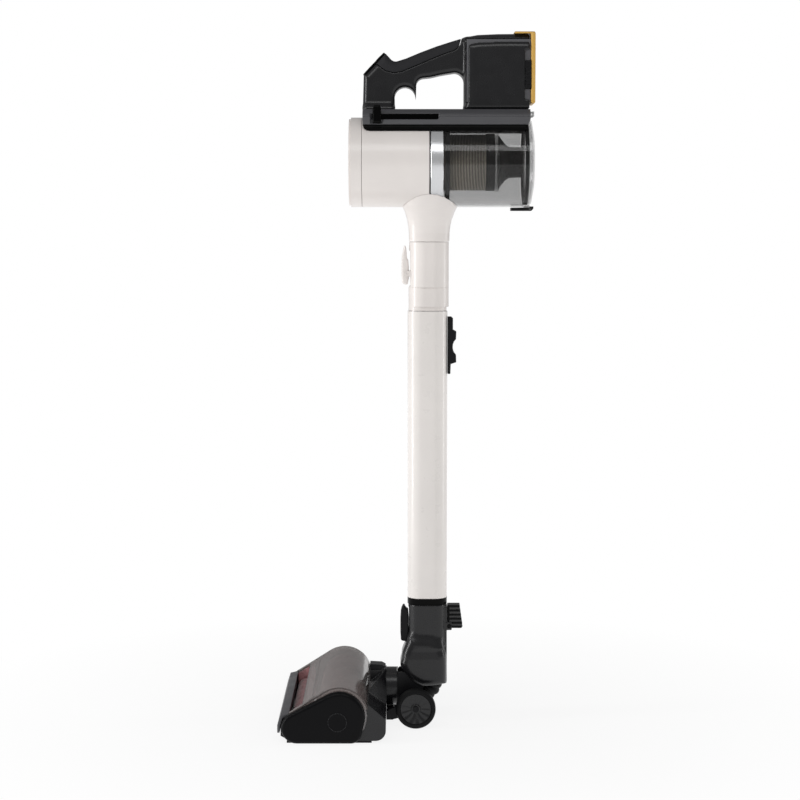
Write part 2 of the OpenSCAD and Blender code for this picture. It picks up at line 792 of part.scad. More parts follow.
module grip_side(s) {
    shell = concat(
        [[-84, deck_z + 0.1], [60, deck_z + 0.1], [60, 897.9]],
        [for (i = [len(PAD_LINE) - 1:-1:0]) PAD_LINE[i]],
        [PANEL_SEAT[0], panel_foot]
    );
    pack = [[46, deck_z + 0.1], [pack_x[1], deck_z + 0.1], [pack_x[1], 899.6], [110.5, 899.6],
            [110.5, 900.9], [89, 900.5], [64, 898.6], [46, 895.6]];
    difference() {
        union() {
            plate_y(shell, grip_half_y, s * grip_half_y / 2);
            intersection() {
                plate_y(pack, pack_half_y, s * pack_half_y / 2);
                translate([0, 0, deck_z - 1]) linear_extrude(120) pack_section();
            }
        }
        plate_y(GRIP_OPENING, 80);
        block([pack_room[0], -pack_room[1], pack_room[2][0]],
            [pack_x[1] + 1, pack_room[1], pack_room[2][1]]);
        block([52, -24, 806], [pack_x[1] + 1, 24, 810]);
        plate_y([[-28, 838], [-10, 850], [16, 853], [44, 853], [44, 880], [22, 868], [3.6, 861],
            [-28, 847]], 2 * grip_half_y - 6);
        // Room for the circuit board and the buttons
        block([-80.5, -12.4, 806], [-52, 12.4, 842]);
        on_panel() translate([0, 0, -30]) {
            translate([14, 0, 0]) cylinder(r = 6.4, h = 40);
            block([24, -9, 20], [34, 9, 40]);
        }
        // Recess for the pack's latch
        block([122.6, s * 26.3 - 2.3, 828], [pack_x[1] + 1, s * 26.3 + 2.3, 866]);
    }
}

module pack_section() {
    corner_r = 13;
    for (s = [-1, 1]) translate([46 + corner_r, s * (pack_half_y - corner_r)]) circle(r = corner_r);
    translate([46, corner_r - pack_half_y]) square([20, 2 * (pack_half_y - corner_r)]);
    translate([46 + corner_r, -pack_half_y]) square([pack_x[1] - 46 - corner_r, 2 * pack_half_y]);
}

module handle_left() {
    color(CHARCOAL) at_wand() intersection() {
        grip_side(-1);
        block([-100, -60, 790], [150, -0.02, 910]);
    }
}

module handle_right() {
    color(CHARCOAL) at_wand() intersection() {
        grip_side(1);
        block([-100, 0.02, 790], [150, 60, 910]);
    }
}

module grip_pad() {
    color(SOFT_BLACK) at_wand() difference() {
        plate_y(concat(PAD_LINE, [for (i = [len(TOP_LINE) - 1:-1:0]) TOP_LINE[i]], [PANEL_SEAT[1]]),
            2 * grip_half_y);
        // Room for the rocker's rib
        on_panel() block([27, -9, -3.9], [31, 9, -2.9]);
    }
}

module on_panel() {
    translate([panel_foot[0], 0, panel_foot[1]]) rotate([0, -panel_a, 0]) children();
}

module control_panel() {
    color(GLOSS_BLACK) at_wand() on_panel() difference() {
        block([0.3, -12.5, -panel_t], [panel_len - 0.1, 12.5, 0]);
        translate([14, 0, -5]) cylinder(r = 6.2, h = 10);
        block([24.2, -8.8, -5], [33.8, 8.8, 5]);
    }
}

module power_button() {
    color(SOFT_BLACK) at_wand() on_panel() translate([14, 0, -2.8]) cylinder(r = 5.8, h = 3.4);
}

module mode_rocker() {
    color(SOFT_BLACK) at_wand() on_panel() {
        block([24.7, -8.3, -2.2], [33.3, 8.3, 0.5]);
        translate([29, 0, -2.2]) rotate([90, 0, 0]) cylinder(r = 1.2, h = 16, center = true);
    }
}

module circuit_board() {
    color("#2F5D3A") at_wand() {
        block([-79.5, -0.8, 808], [-53, 0.8, 840]);
        for (z = [812, 822, 832]) block([-74, 0.8, z], [-64, 2.6, z + 6]);
    }
}

// ---- Hand unit: battery -----------------------------------------------------------------

cell_r = 9.1;
cell_len = 65;

// Recess a latch sinks into; grown by wall, the material kept round it
module latch_recess(s, wall) {
    block([123.4 - wall, s * pack_case[1] - latch_sink - wall, 828.9 - wall],
        [pack_case[0][1] + 1, s * pack_case[1] + latch_sink + wall, 865.1 + wall]);
}

module battery_case() {
    color(SOFT_BLACK) at_wand() difference() {
        block([pack_case[0][0], -pack_case[1], pack_case[2][0]],
            [pack_case[0][1], pack_case[1], pack_case[2][1]]);
        difference() {
            block([pack_case[0][0] + case_wall, case_wall - pack_case[1], pack_case[2][0] + case_wall],
                [pack_case[0][1] - case_wall, pack_case[1] - case_wall, pack_case[2][1] - case_wall]);
            for (s = [-1, 1]) latch_recess(s, case_wall);
        }
        for (s = [-1, 1]) latch_recess(s, 0);
    }
}

module battery_cells() {
    color("#3C6FA5") at_wand() for (i = [0:3], s = [-1, 1])
        translate([61.5 + 19 * i, s * 10.5, 815]) cylinder(r = cell_r, h = cell_len);
}

module battery_end_plate() {
    color(ORANGE) at_wand() {
        difference() {
            block([plate_x[0], -27.6, 810.5], [plate_x[1], 27.6, 901]);
            for (s = [-1, 1]) block([plate_x[0] - 1, s * 25.9 - 2.7, 827], [134.8, s * 25.9 + 2.7, 867]);
        }
        block([111, -22, 900], [plate_x[1], 22, 902.8]);
    }
}

module battery_latch(s) {
    at_wand() difference() {
        block([124, s * 26.6 - 1.4, 829.5], [134.4, s * 26.6 + 1.4, 864.5]);
        for (i = [0:5]) block([123, s * 27.9 - 0.4, 834 + 4.6 * i], [131, s * 27.9 + 0.4, 835.6 + 4.6 * i]);
    }
}

module battery_latch_left() { color(SOFT_BLACK) battery_latch(-1); }
module battery_latch_right() { color(SOFT_BLACK) battery_latch(1); }

// ---- Drawing ----------------------------------------------------------------------------

rear_housing();
wheel_carrier();
sole_plate();
clear_hood();
end_cap_left();
end_cap_right();
front_bumper();
drive_motor();
motor_pulley();
drive_belt();
brush_core();
brush_tufts();
front_roller();
roller_lock_knob();
roller_release();
wheel_left();
wheel_right();
swivel_yoke();
pivot_pins();
neck_shell();
neck_button();
foot_pedal();
bellows_hose();
tube_end_ring();
outer_tube();
length_slider();
inner_tube();
lower_collar();
upper_collar();
release_latch();
motor_housing();
inlet_neck();
trim_ring();
chassis_rail();
handle_left();
handle_right();
grip_pad();
control_panel();
power_button();
mode_rocker();
circuit_board();
suction_motor();
impeller();
exhaust_cap();
hepa_filter();
compactor_lever();
compactor_ring();
dust_bin();
bin_lid();
lid_latch();
mesh_screen();
screen_collar();
cyclone_bell();
battery_case();
battery_cells();
battery_end_plate();
battery_latch_left();
battery_latch_right();
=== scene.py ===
"""Looks of the cordless stick vacuum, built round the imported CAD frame.

Lengths in the builders are millimetres, with X measured from the wand's axis and Z from the floor,
as in the CAD source; place() turns them into the frame's metres.
"""

from math import asin, atan2, copysign, cos, degrees, hypot, pi, radians, sin, tan

import bmesh
import bpy
import numpy as np
import openvdb
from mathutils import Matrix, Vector


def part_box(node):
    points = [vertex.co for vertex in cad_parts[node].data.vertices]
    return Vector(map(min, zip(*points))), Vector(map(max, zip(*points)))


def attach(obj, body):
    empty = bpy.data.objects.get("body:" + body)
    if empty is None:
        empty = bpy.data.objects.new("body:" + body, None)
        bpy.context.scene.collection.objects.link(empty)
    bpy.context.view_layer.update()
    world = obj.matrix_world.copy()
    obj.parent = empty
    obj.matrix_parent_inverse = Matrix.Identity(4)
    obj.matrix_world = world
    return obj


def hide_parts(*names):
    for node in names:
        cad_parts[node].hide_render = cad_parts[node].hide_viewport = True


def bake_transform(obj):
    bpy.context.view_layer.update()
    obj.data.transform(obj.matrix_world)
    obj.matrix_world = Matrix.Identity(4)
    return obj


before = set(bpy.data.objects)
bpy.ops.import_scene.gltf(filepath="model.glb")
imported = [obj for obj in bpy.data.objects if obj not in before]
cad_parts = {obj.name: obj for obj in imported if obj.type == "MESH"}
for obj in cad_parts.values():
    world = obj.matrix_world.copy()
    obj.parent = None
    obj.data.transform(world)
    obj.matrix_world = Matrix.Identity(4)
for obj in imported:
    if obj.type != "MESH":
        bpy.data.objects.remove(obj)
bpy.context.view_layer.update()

MM = 0.001
TUBE_LO, TUBE_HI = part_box("outer_tube")
WAND_X = (TUBE_LO.x + TUBE_HI.x) / 2


def span(node, axis):
    """Lowest and highest coordinate of a CAD node along an axis."""
    lo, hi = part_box(node)
    shift = WAND_X if axis == 0 else 0.0
    return (lo[axis] - shift) / MM, (hi[axis] - shift) / MM


def middle(node, axis):
    return sum(span(node, axis)) / 2


def half_height(node):
    lo, hi = span(node, 2)
    return (hi - lo) / 2


# Stations read from the frame
BARREL_R = half_height("trim_ring")
BARREL_Z = middle("trim_ring", 2)
HEAD_HALF = span("end_cap_right", 1)[1]
TUBE_X = span("outer_tube", 0)[1]
TUBE_Y = span("outer_tube", 1)[1]
WHEEL_R = middle("wheel_left", 2)
WHEEL_C = (middle("wheel_left", 0), WHEEL_R)
HOOD_C = (middle("brush_core", 0), middle("brush_core", 2))
OVAL_POINTS = 96
AXIS_R = 0.05  # where a turned profile meets its axis
SIDES = ((-1, "left"), (1, "right"))


# ---- Mesh builders ----


def place(points):
    """Points in millimetres as an array in the frame's metres."""
    out = np.asarray(points, float).reshape(-1, 3) * MM
    out[:, 0] += WAND_X
    return out


def add_object(name, data):
    obj = bpy.data.objects.new(name, data)
    bpy.context.scene.collection.objects.link(obj)
    return obj


def make_object(name, points, faces, sharp=35.0):
    mesh = bpy.data.meshes.new(name)
    mesh.from_pydata(place(points).tolist(), [], [list(f) for f in faces])
    mesh.validate()
    bm = bmesh.new()
    bm.from_mesh(mesh)
    bmesh.ops.remove_doubles(bm, verts=bm.verts, dist=2e-6)
    bmesh.ops.recalc_face_normals(bm, faces=bm.faces)
    bm.to_mesh(mesh)
    bm.free()
    obj = add_object(name, mesh)
    mesh.shade_smooth()
    mesh.set_sharp_from_angle(angle=radians(sharp))
    return obj


def loft(name, rings, caps=True, sharp=35.0, looped=False):
    """Skin through rings of equally many points, capped or looped."""
    count = len(rings[0])
    faces = []
    for r in range(len(rings) - (not looped)):
        a, b = r * count, (r + 1) % len(rings) * count
        faces += [(a + i, a + (i + 1) % count, b + (i + 1) % count, b + i) for i in range(count)]
    if caps and not looped:
        faces.append(tuple(range(count)))
        faces.append(tuple(range((len(rings) - 1) * count, len(rings) * count)))
    return make_object(name, [p for ring in rings for p in ring], faces, sharp)


def turn(n):
    """The n angles of one full turn."""
    return [2 * pi * k / n for k in range(n)]


def lathe_x(name, profile, turns=128):
    """Closed profile of (x, radius) points turned round the barrel's axis."""
    rings = [[(x, r * sin(a), BARREL_Z + r * cos(a)) for x, r in profile] for a in turn(turns)]
    return loft(name, rings, looped=True)


def square(a, b, r0, r1):
    """Lathe profile of a square section, a to b and radius r0 to r1."""
    return [(a, r0), (a, r1), (b, r1), (b, r0)]


def round_y(c, y, r, a):
    """Point at angle a and radius r about the Y line through c = (x, z)."""
    return (c[0] + r * cos(a), y, c[1] + r * sin(a))


def lathe_y(name, profile, c, turns=96):
    """Closed profile of (y, radius) points turned round the Y line through c = (x, z)."""
    rings = [[round_y(c, y, r, a) for y, r in profile] for a in turn(turns)]
    return loft(name, rings, looped=True)


def arc(c, r, a0, a1, n=12):
    """Points of an arc about c from angle a0 to a1, in degrees."""
    return [(c[0] + r * cos(radians(a0 + (a1 - a0) * i / n)),
        c[1] + r * sin(radians(a0 + (a1 - a0) * i / n))) for i in range(n + 1)]


def touch_angle(a, b):
    """Outward normal, in degrees, of the line touching circles a and b."""
    dx, dz = b[0] - a[0], b[1] - a[1]
    return degrees(atan2(dz, dx)) - 90 + degrees(asin((a[2] - b[2]) / hypot(dx, dz)))


def wrap(circles, grow=0.0, n=16):
    """Outline pulled tight round circles (x, z, r) listed anticlockwise, grown by grow."""
    points = []
    for i, here in enumerate(circles):
        before, after = circles[i - 1], circles[(i + 1) % len(circles)]
        a0 = touch_angle(before, here)
        a1 = a0 + (touch_angle(here, after) - a0) % 360
        points += arc(here, max(here[2] + grow, 0.05), a0, a1, n)
    return points


def soften(points, rounds=2):
    """Corner cutting: each round puts two points for every corner."""
    for _ in range(rounds):
        pairs = zip(np.array(points, float), np.array(points[1:] + points[:1], float))
        points = [tuple(p * s + q * (1 - s)) for p, q in pairs for s in (0.75, 0.25)]
    return points


def bevel(obj, width, segments):
    """Round the edges sharper than 30 degrees, in the mesh itself."""
    mod = obj.modifiers.new("bevel", "BEVEL")
    mod.width = width * MM
    mod.segments = segments
    mod.limit_method = "ANGLE"
    mod.angle_limit = radians(30)
    graph = bpy.context.evaluated_depsgraph_get()
    rounded = bpy.data.meshes.new_from_object(obj.evaluated_get(graph))
    old = obj.data
    obj.modifiers.clear()
    obj.data = rounded
    bpy.data.meshes.remove(old)
    rounded.shade_smooth()
    rounded.set_sharp_from_angle(angle=radians(40))
    return obj


def plate(name, outline, y0, y1, rim=0.0, n=4):
    """An outline in X and Z between y0 and y1, with a rounded rim."""
    count = len(outline)
    points = [(x, y0, z) for x, z in outline] + [(x, y1, z) for x, z in outline]
    faces = [tuple(range(count)), tuple(range(count, 2 * count))]
    faces += [(i, (i + 1) % count, count + (i + 1) % count, count + i) for i in range(count)]
    obj = make_object(name, points, faces)
    if rim > 0:
        bevel(obj, rim, n)
    return obj


def slab(name, a, b, rim=0.0, n=3):
    """A block between two corners, with rounded edges."""
    (x0, y0, z0), (x1, y1, z1) = a, b
    outline = [(x0, z0), (x1, z0), (x1, z1), (x0, z1)]
    return plate(name, outline, y0, y1, rim, n)


def oval(hx, hy, z):
    """Ring of a stadium-like section hx by hy at height z."""
    r = min(hx, hy)
    ring = []
    for k in range(OVAL_POINTS):
        a = 2 * pi * (k + 0.5) / OVAL_POINTS
        cx, cy = cos(a), sin(a)
        ring.append((copysign(hx - r, cx) + r * cx, copysign(hy - r, cy) + r * cy, z))
    return ring


def join(name, parts):
    """One object from several, keeping every face's own material."""
    for o in bpy.context.selected_objects:
        o.select_set(False)
    for o in parts:
        o.select_set(True)
    bpy.context.view_layer.objects.active = parts[0]
    bpy.ops.object.join()
    parts[0].name = name
    parts[0].data.name = name
    return parts[0]


# ---- Distance fields, for the moulded shells ----


# Fields are negative inside: both() is their overlap, either() their union
both, either = np.maximum, np.minimum


def flat_field(points, X, Z):
    """Signed distance, negative inside, from each (X, Z) to a closed outline."""
    flat = np.array(points, float)
    nxt = np.roll(flat, -1, axis=0)
    best = np.full(np.broadcast(X, Z).shape, 1e12)
    inside = np.zeros(best.shape, bool)
    for (ax, az), (bx, bz) in zip(flat, nxt):
        ex, ez = bx - ax, bz - az
        length = ex * ex + ez * ez
        if length < 1e-12:
            continue
        t = np.clip(((X - ax) * ex + (Z - az) * ez) / length, 0, 1)
        best = either(best, (X - ax - t * ex) ** 2 + (Z - az - t * ez) ** 2)
        if az != bz:
            crosses = ((az > Z) != (bz > Z)) & (X < ex * (Z - az) / ez + ax)
            inside ^= crosses
    return np.where(inside, -1.0, 1.0) * np.sqrt(best)


def corner_field(p, q, r):
    """Rounded corner of fields p and q, at radius r outside it."""
    return np.sqrt(both(p, 0) ** 2 + both(q, 0) ** 2) + either(both(p, q), 0) - r


def meet(a, b, r):
    """Where fields a and b overlap, with the edge between them rounded to radius r."""
    return corner_field(a + r, b + r, r)


def radial(U, V, r):
    """A cylinder of radius r about U = V = 0."""
    return np.sqrt(U ** 2 + V ** 2) - r


def ridges(V, start, pitch, half):
    """Ridges across V at an even pitch."""
    return np.abs(((V - start) / pitch) % 1.0 - 0.5) * pitch - half


def extruded(outline, X, Y, Z, half, r):
    """An outline carried to |Y| <= half, with its rim rounded to r."""
    return meet(flat_field(outline, X, Z), np.abs(Y) - half, r)


def smooth_union(a, b, k):
    h = np.clip(0.5 + 0.5 * (b - a) / k, 0, 1)
    return b * (1 - h) + a * h - k * h * (1 - h)


def smooth_cut(a, b, k):
    """What of a lies outside b, with the new edge rounded by k."""
    return -smooth_union(-a, b, k)


def box_field(X, Y, Z, lo, hi, r=0.0):
    c = [(lo[i] + hi[i]) / 2 for i in range(3)]
    h = [(hi[i] - lo[i]) / 2 - r for i in range(3)]
    q = [np.abs(V - c[i]) - h[i] for i, V in enumerate((X, Y, Z))]
    outside = np.sqrt(sum(both(v, 0) ** 2 for v in q))
    return outside + either(both(both(q[0], q[1]), q[2]), 0) - r


def field_piece(name, field, lo, hi, step=1.0, sharp=50.0):
    """Mesh of the surface where the field is zero, sampled every step millimetres."""
    axes = [np.arange(lo[i] - 3 * step, hi[i] + 4 * step, step) for i in range(3)]
    X, Y, Z = np.meshgrid(*axes, indexing="ij", sparse=True)
    shape = tuple(len(a) for a in axes)
    values = np.broadcast_to(field(X, Y, Z), shape)
    band = 3 * step
    grid = openvdb.FloatGrid()
    grid.background = band
    grid.copyFromArray(np.ascontiguousarray(np.clip(values, -band, band).astype(np.float32)))
    points, quads = grid.convertToQuads(isovalue=0.0)
    points = points * step + np.array([a[0] for a in axes])
    return make_object(name, points, quads[:, ::-1].tolist(), sharp=sharp)


# ---- Materials ----


def linear(rgb):
    """Linear colour from 0..255 display values."""
    out = []
    for c in rgb:
        c /= 255
        out.append(c / 12.92 if c <= 0.04045 else ((c + 0.055) / 1.055) ** 2.4)
    return (*out, 1.0)


class Look:
    """A node material under construction."""

    def __init__(self, name):
        self.mat = bpy.data.materials.new(name)
        self.mat.use_nodes = True
        self.tree = self.mat.node_tree
        self.shader = self.tree.nodes["Principled BSDF"]
        self.coords = self.tree.nodes.new("ShaderNodeTexCoord").outputs["Object"]

    def node(self, kind, inputs=None, **props):
        n = self.tree.nodes.new(kind)
        for key, value in props.items():
            setattr(n, key, value)
        for key, value in (inputs or {}).items():
            if hasattr(value, "is_output"):
                self.tree.links.new(value, n.inputs[key])
            else:
                n.inputs[key].default_value = value
        return n

    def link(self, out, socket):
        self.tree.links.new(out, self.shader.inputs[socket])

    def set(self, **values):
        names = {"rough": "Roughness", "metal": "Metallic", "ior": "IOR", "coat": "Coat Weight",
            "coat_rough": "Coat Roughness", "sheen": "Sheen Weight",
            "sheen_rough": "Sheen Roughness", "specular": "Specular IOR Level", "alpha": "Alpha"}
        for key, value in values.items():
            self.shader.inputs[names[key]].default_value = value
        return self

    def noise(self, scale, detail=2.0, rough=0.5, stretch=None):
        where = self.coords
        if stretch:
            where = self.node("ShaderNodeMapping", {"Vector": where, "Scale": stretch}).outputs[0]
        return self.node("ShaderNodeTexNoise",
            {"Vector": where, "Scale": scale, "Detail": detail, "Roughness": rough}).outputs[0]

    def spread(self, value, low, high, at=(0.35, 0.65)):
        """value from about 0..1 mapped onto low..high."""
        return self.node("ShaderNodeMapRange",
            {0: value, 1: at[0], 2: at[1], 3: low, 4: high}).outputs[0]

    def mix(self, value, a, b):
        n = self.node("ShaderNodeMix", data_type="RGBA")
        self.tree.links.new(value, n.inputs[0])
        for socket, side in ((n.inputs[6], a), (n.inputs[7], b)):
            if hasattr(side, "is_output"):
                self.tree.links.new(side, socket)
            else:
                socket.default_value = side
        return n.outputs[2]

    def soften_edges(self, radius=0.0008):
        """Shade moulded edges as if rounded."""
        n = self.node("ShaderNodeBevel", {"Radius": radius}, samples=4)
        self.link(n.outputs[0], "Normal")

    def bump(self, height, strength, distance):
        n = self.node("ShaderNodeBump", {"Height": height, "Strength": strength,
            "Distance": distance})
        if self.shader.inputs["Normal"].links:
            self.tree.links.new(self.shader.inputs["Normal"].links[0].from_socket,
                n.inputs["Normal"])
        self.link(n.outputs[0], "Normal")

    def worn(self, base, edge):
        """Base colour with paler, rubbed convex edges."""
        point = self.node("ShaderNodeNewGeometry").outputs["Pointiness"]
        return self.mix(self.spread(point, 0, 1, (0.53, 0.66)), base, edge)


def scaled(color, k):
    return (*(min(c * k, 1.0) for c in color[:3]), 1.0)


def moulded(name, rgb, rough=0.45, grain=0.02, grain_size=0.0009, coat=0.0, wear=1.12,
        specular=0.5):
    """Moulded plastic: clouding, fine grain, uneven gloss and rubbed edges."""
    look = Look(name)
    base = linear(rgb)
    cloud = look.spread(look.noise(14, 3), 0, 1)
    tone = look.mix(cloud, scaled(base, 0.97), scaled(base, 1.03))
    look.link(look.worn(tone, scaled(base, wear)) if wear else tone, "Base Color")
    look.link(look.spread(look.noise(60, 4), rough * 0.9, rough * 1.1), "Roughness")
    look.soften_edges()
    look.bump(look.noise(1 / grain_size, 2, 0.6), grain, 0.0002)
    look.set(coat=coat, coat_rough=0.12, specular=specular)
    return look.mat


def polished(name, rgb, rough=0.12, scuff=0.04, coat=0.25, specular=0.3):
    """Gloss plastic: orange peel, hairline scuffs and a clear coat."""
    look = Look(name)
    base = linear(rgb)
    look.link(look.mix(look.spread(look.noise(20, 2), 0, 1), scaled(base, 0.92),
        scaled(base, 1.08)), "Base Color")
    fine = look.noise(420, 3, 0.6, (1.0, 1.0, 0.12))
    look.link(look.spread(fine, rough, rough + scuff, (0.45, 0.75)), "Roughness")
    look.soften_edges(0.0006)
    look.bump(look.noise(90, 1), 0.03, 0.0004)
    look.set(coat=coat, coat_rough=0.06, specular=specular)
    return look.mat


def metal(name, rgb, rough=0.3, brush=(1.0, 1.0, 1.0), strength=0.05, metallic=1.0):
    """Metal with a brushed or drawn grain along one axis."""
    look = Look(name)
    base = linear(rgb)
    grain = look.noise(900, 3, 0.6, brush)
    look.link(look.mix(look.spread(grain, 0, 1), scaled(base, 0.97), scaled(base, 1.02)),
        "Base Color")
    look.link(look.spread(grain, rough * 0.9, rough * 1.1), "Roughness")
    look.bump(grain, strength, 0.0001)
    look.set(metal=metallic)
    return look.mat


def soft_rubber(name, rgb, rough=0.7, dust=1.5):
    """Soft-touch rubber: matt and pebbled, with lint in the grain."""
    look = Look(name)
    base = linear(rgb)
    pebble = look.node("ShaderNodeTexVoronoi", {"Vector": look.coords, "Scale": 1300.0}).outputs[0]
    specks = look.spread(look.noise(900, 3, 0.7), 0, 0.35, (0.62, 0.78))
    tone = look.mix(look.spread(look.noise(18, 3), 0, 1), scaled(base, 0.92), scaled(base, 1.1))
    look.link(look.mix(specks, tone, scaled(base, dust)), "Base Color")
    look.link(look.spread(look.noise(50, 3), rough * 0.92, min(rough * 1.08, 1)), "Roughness")
    look.bump(pebble, 0.12, 0.0002)
    look.set(specular=0.12)
    return look.mat


def smoked(name, rgb, alpha, rough=0.06):
    """Thin smoked plastic: see-through, with faint haze and fine scratches."""
    look = Look(name)
    base = linear(rgb)
    look.link(look.mix(look.spread(look.noise(12, 2), 0, 1), scaled(base, 0.92),
        scaled(base, 1.08)), "Base Color")
    haze = look.noise(500, 3, 0.6, (0.15, 1.0, 1.0))
    look.link(look.spread(haze, rough, rough + 0.05, (0.45, 0.8)), "Roughness")
    look.set(alpha=alpha, ior=1.49, coat=0.6, coat_rough=0.03, specular=0.7)
    look.mat.blend_method = "BLEND"
    return look.mat


def plush(name, rgb, dark=0.45, pile=0.0011):
    """Short dense pile: clumped fibres, with painted shade at the roots and a painted highlight on
    the tips.
    """
    look = Look(name)
    base = linear(rgb)
    fibre = look.noise(1 / pile, 4, 0.75)
    clump = look.noise(160, 3, 0.6)
    depth = look.node("ShaderNodeMath", {0: fibre, 1: clump}, operation="MULTIPLY").outputs[0]
    # Painted shade and highlight: deep pile darkened, tips brightened, both from one base colour
    shade = look.spread(depth, 0, 1, (0.14, 0.36))
    look.link(look.mix(shade, scaled(base, dark), scaled(base, 1.35)), "Base Color")
    look.bump(fibre, 0.8, 0.0009)
    look.bump(clump, 0.5, 0.0016)
    look.set(rough=0.95, sheen=0.6, sheen_rough=0.45, specular=0.15)
    return look.mat


def coat_with(obj, material):
    obj.data.materials.clear()
    obj.data.materials.append(material)
    for face in obj.data.polygons:
        face.material_index = 0


BLACK = moulded("matt black", (20, 20, 22), rough=0.38, grain=0.05, wear=1.6, specular=0.16)
CHARCOAL = moulded("charcoal", (76, 76, 79), rough=0.42, grain=0.05, wear=1.2)
DARK = moulded("dark moulding", (22, 22, 24), rough=0.26, grain=0.012, wear=1.5, specular=0.42)
CAP_BLACK = moulded("satin black", (11, 11, 13), rough=0.3, grain=0.03, wear=None, specular=0.1)
GLOSS = polished("gloss black", (5, 5, 5), coat=0.0, specular=0.07)
SOFT = soft_rubber("soft grip", (42, 42, 44))
TYRE = soft_rubber("tyre rubber", (18, 18, 19), rough=0.45)
BEIGE = moulded("beige satin", (231, 225, 221), rough=0.32, grain=0.02, coat=0.25, wear=None)
TUBE_BEIGE = moulded("beige tube", (235, 230, 226), rough=0.3, grain=0.015, coat=0.35, wear=None)
INNER = metal("inner pipe", (150, 150, 152), rough=0.32, brush=(1.0, 1.0, 0.05))
SILVER = metal("silver ring", (214, 215, 217), rough=0.24, brush=(0.05, 1.0, 1.0), strength=0.004,
    metallic=0.75)
STEEL = metal("plain metal", (150, 151, 154), rough=0.35)
MOTOR = metal("motor can", (150, 150, 150), rough=0.4, brush=(1.0, 1.0, 0.1))
ALLOY = metal("impeller alloy", (190, 192, 195), rough=0.25)
SMOKE = smoked("smoked bin", (24, 23, 21), 0.28)
HOOD = smoked("smoked hood", (138, 127, 124), 0.6, rough=0.16)
BURGUNDY = plush("burgundy plush", (150, 44, 58))
ROLLER = plush("roller fibre", (176, 130, 132), dark=0.6, pile=0.0008)
FILTER = plush("pleated filter", (224, 222, 214), dark=0.75, pile=0.0006)
CELL = polished("cell sleeve", (44, 84, 134), rough=0.3)
ORANGE = moulded("orange", (210, 166, 80), rough=0.38, grain=0.04, wear=1.08)


def board_material():
    look = Look("circuit board")
    cells = look.node("ShaderNodeTexBrick", {"Vector": look.coords, "Scale": 260.0}).outputs[0]
    look.link(look.mix(cells, linear((24, 84, 52)), linear((150, 132, 66))), "Base Color")
    look.link(look.spread(look.noise(300, 2), 0.3, 0.5), "Roughness")
    return look.mat


def mesh_material():
    """Wound screen: pale wires with dark gaps, the wires darkened towards the top by painted shade.
    """
    look = Look("wound screen")
    split = look.node("ShaderNodeSeparateXYZ", {0: look.coords}).outputs
    wires = look.node("ShaderNodeTexWave", {"Vector": look.coords, "Scale": 160.0,
        "Distortion": 0.0}, bands_direction="X").outputs[1]
    # Painted shade: wire colour runs from pale low down to dark near the top
    light = look.spread(split[2], 1.0, 0.15, ((BARREL_Z - 5) * MM, (BARREL_Z + 22) * MM))
    wire = look.mix(light, linear((96, 91, 84)), linear((252, 243, 226)))
    look.link(look.mix(look.spread(wires, 0, 1, (0.25, 0.75)), linear((74, 70, 64)), wire),
        "Base Color")
    look.link(look.spread(look.noise(200, 3), 0.32, 0.5), "Roughness")
    look.bump(wires, 0.5, 0.0006)
    look.set(metal=0.1)
    return look.mat


SCREEN = mesh_material()
BOARD = board_material()

# CAD nodes that keep their own shape
NODE_LOOKS = {BLACK: ["wheel_carrier", "sole_plate", "drive_belt", "brush_core", "motor_pulley",
    "swivel_yoke", "mode_rocker", "compactor_ring", "lid_latch", "cyclone_bell",
    "battery_latch_left", "battery_latch_right", "neck_button", "foot_pedal", "roller_release",
    "length_slider", "roller_lock_knob", "compactor_lever"],
    DARK: ["rear_housing", "neck_shell", "handle_left", "handle_right", "front_bumper"],
    CAP_BLACK: ["end_cap_left", "end_cap_right"],
    CHARCOAL: ["chassis_rail", "battery_case", "screen_collar"],
    GLOSS: ["control_panel", "power_button", "tube_end_ring"], SOFT: ["grip_pad"],
    TYRE: ["bellows_hose", "wheel_left", "wheel_right"],
    BEIGE: ["motor_housing", "inlet_neck", "exhaust_cap", "upper_collar", "lower_collar",
    "release_latch"], TUBE_BEIGE: ["outer_tube"], INNER: ["inner_tube"], SILVER: ["trim_ring"],
    STEEL: ["pivot_pins"], MOTOR: ["drive_motor", "suction_motor"], ALLOY: ["impeller"],
    SMOKE: ["dust_bin", "bin_lid"], HOOD: ["clear_hood"], BURGUNDY: ["brush_tufts"],
    ROLLER: ["front_roller"], FILTER: ["hepa_filter"], CELL: ["battery_cells"],
    ORANGE: ["battery_end_plate"], SCREEN: ["mesh_screen"], BOARD: ["circuit_board"],}
for material, names in NODE_LOOKS.items():
    for node_name in names:
        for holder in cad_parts[node_name].material_slots:
            holder.material = material


def finish(obj, body, material, slot, *nodes):
    """Coat a piece, ride on its body, replace its nodes; the slot is not used."""
    coat_with(obj, material)
    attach(obj, body)
    if nodes:
        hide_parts(*nodes)
    return obj


def finish_field(name, field, lo, hi, step, body, material, slot, *nodes):
    """A finished piece meshed from its field."""
    return finish(field_piece(name, field, lo, hi, step), body, material, slot, *nodes)


# ---- Hand unit: handle ----

DECK_Z = span("handle_left", 2)[0]
PACK_X = span("battery_case", 0)[1]
PACK_HALF = span("handle_right", 1)[1]
PACK_ROOM_X = span("battery_case", 0)[0] - 1.1
GRIP_HALF = span("grip_pad", 1)[1]
TOP_Z = span("handle_left", 2)[1]

PANEL_FOOT, PANEL_TOP = np.array((-84.0, 848.0)), np.array((-56.3, 877.0))
PANEL_LENGTH = float(np.linalg.norm(PANEL_TOP - PANEL_FOOT))
PANEL_ALONG = (PANEL_TOP - PANEL_FOOT) / PANEL_LENGTH
PANEL_OUT = np.array((-PANEL_ALONG[1], PANEL_ALONG[0]))
SEAT_FOOT, SEAT_TOP = PANEL_FOOT - 1.6 * PANEL_OUT, PANEL_TOP - 1.6 * PANEL_OUT

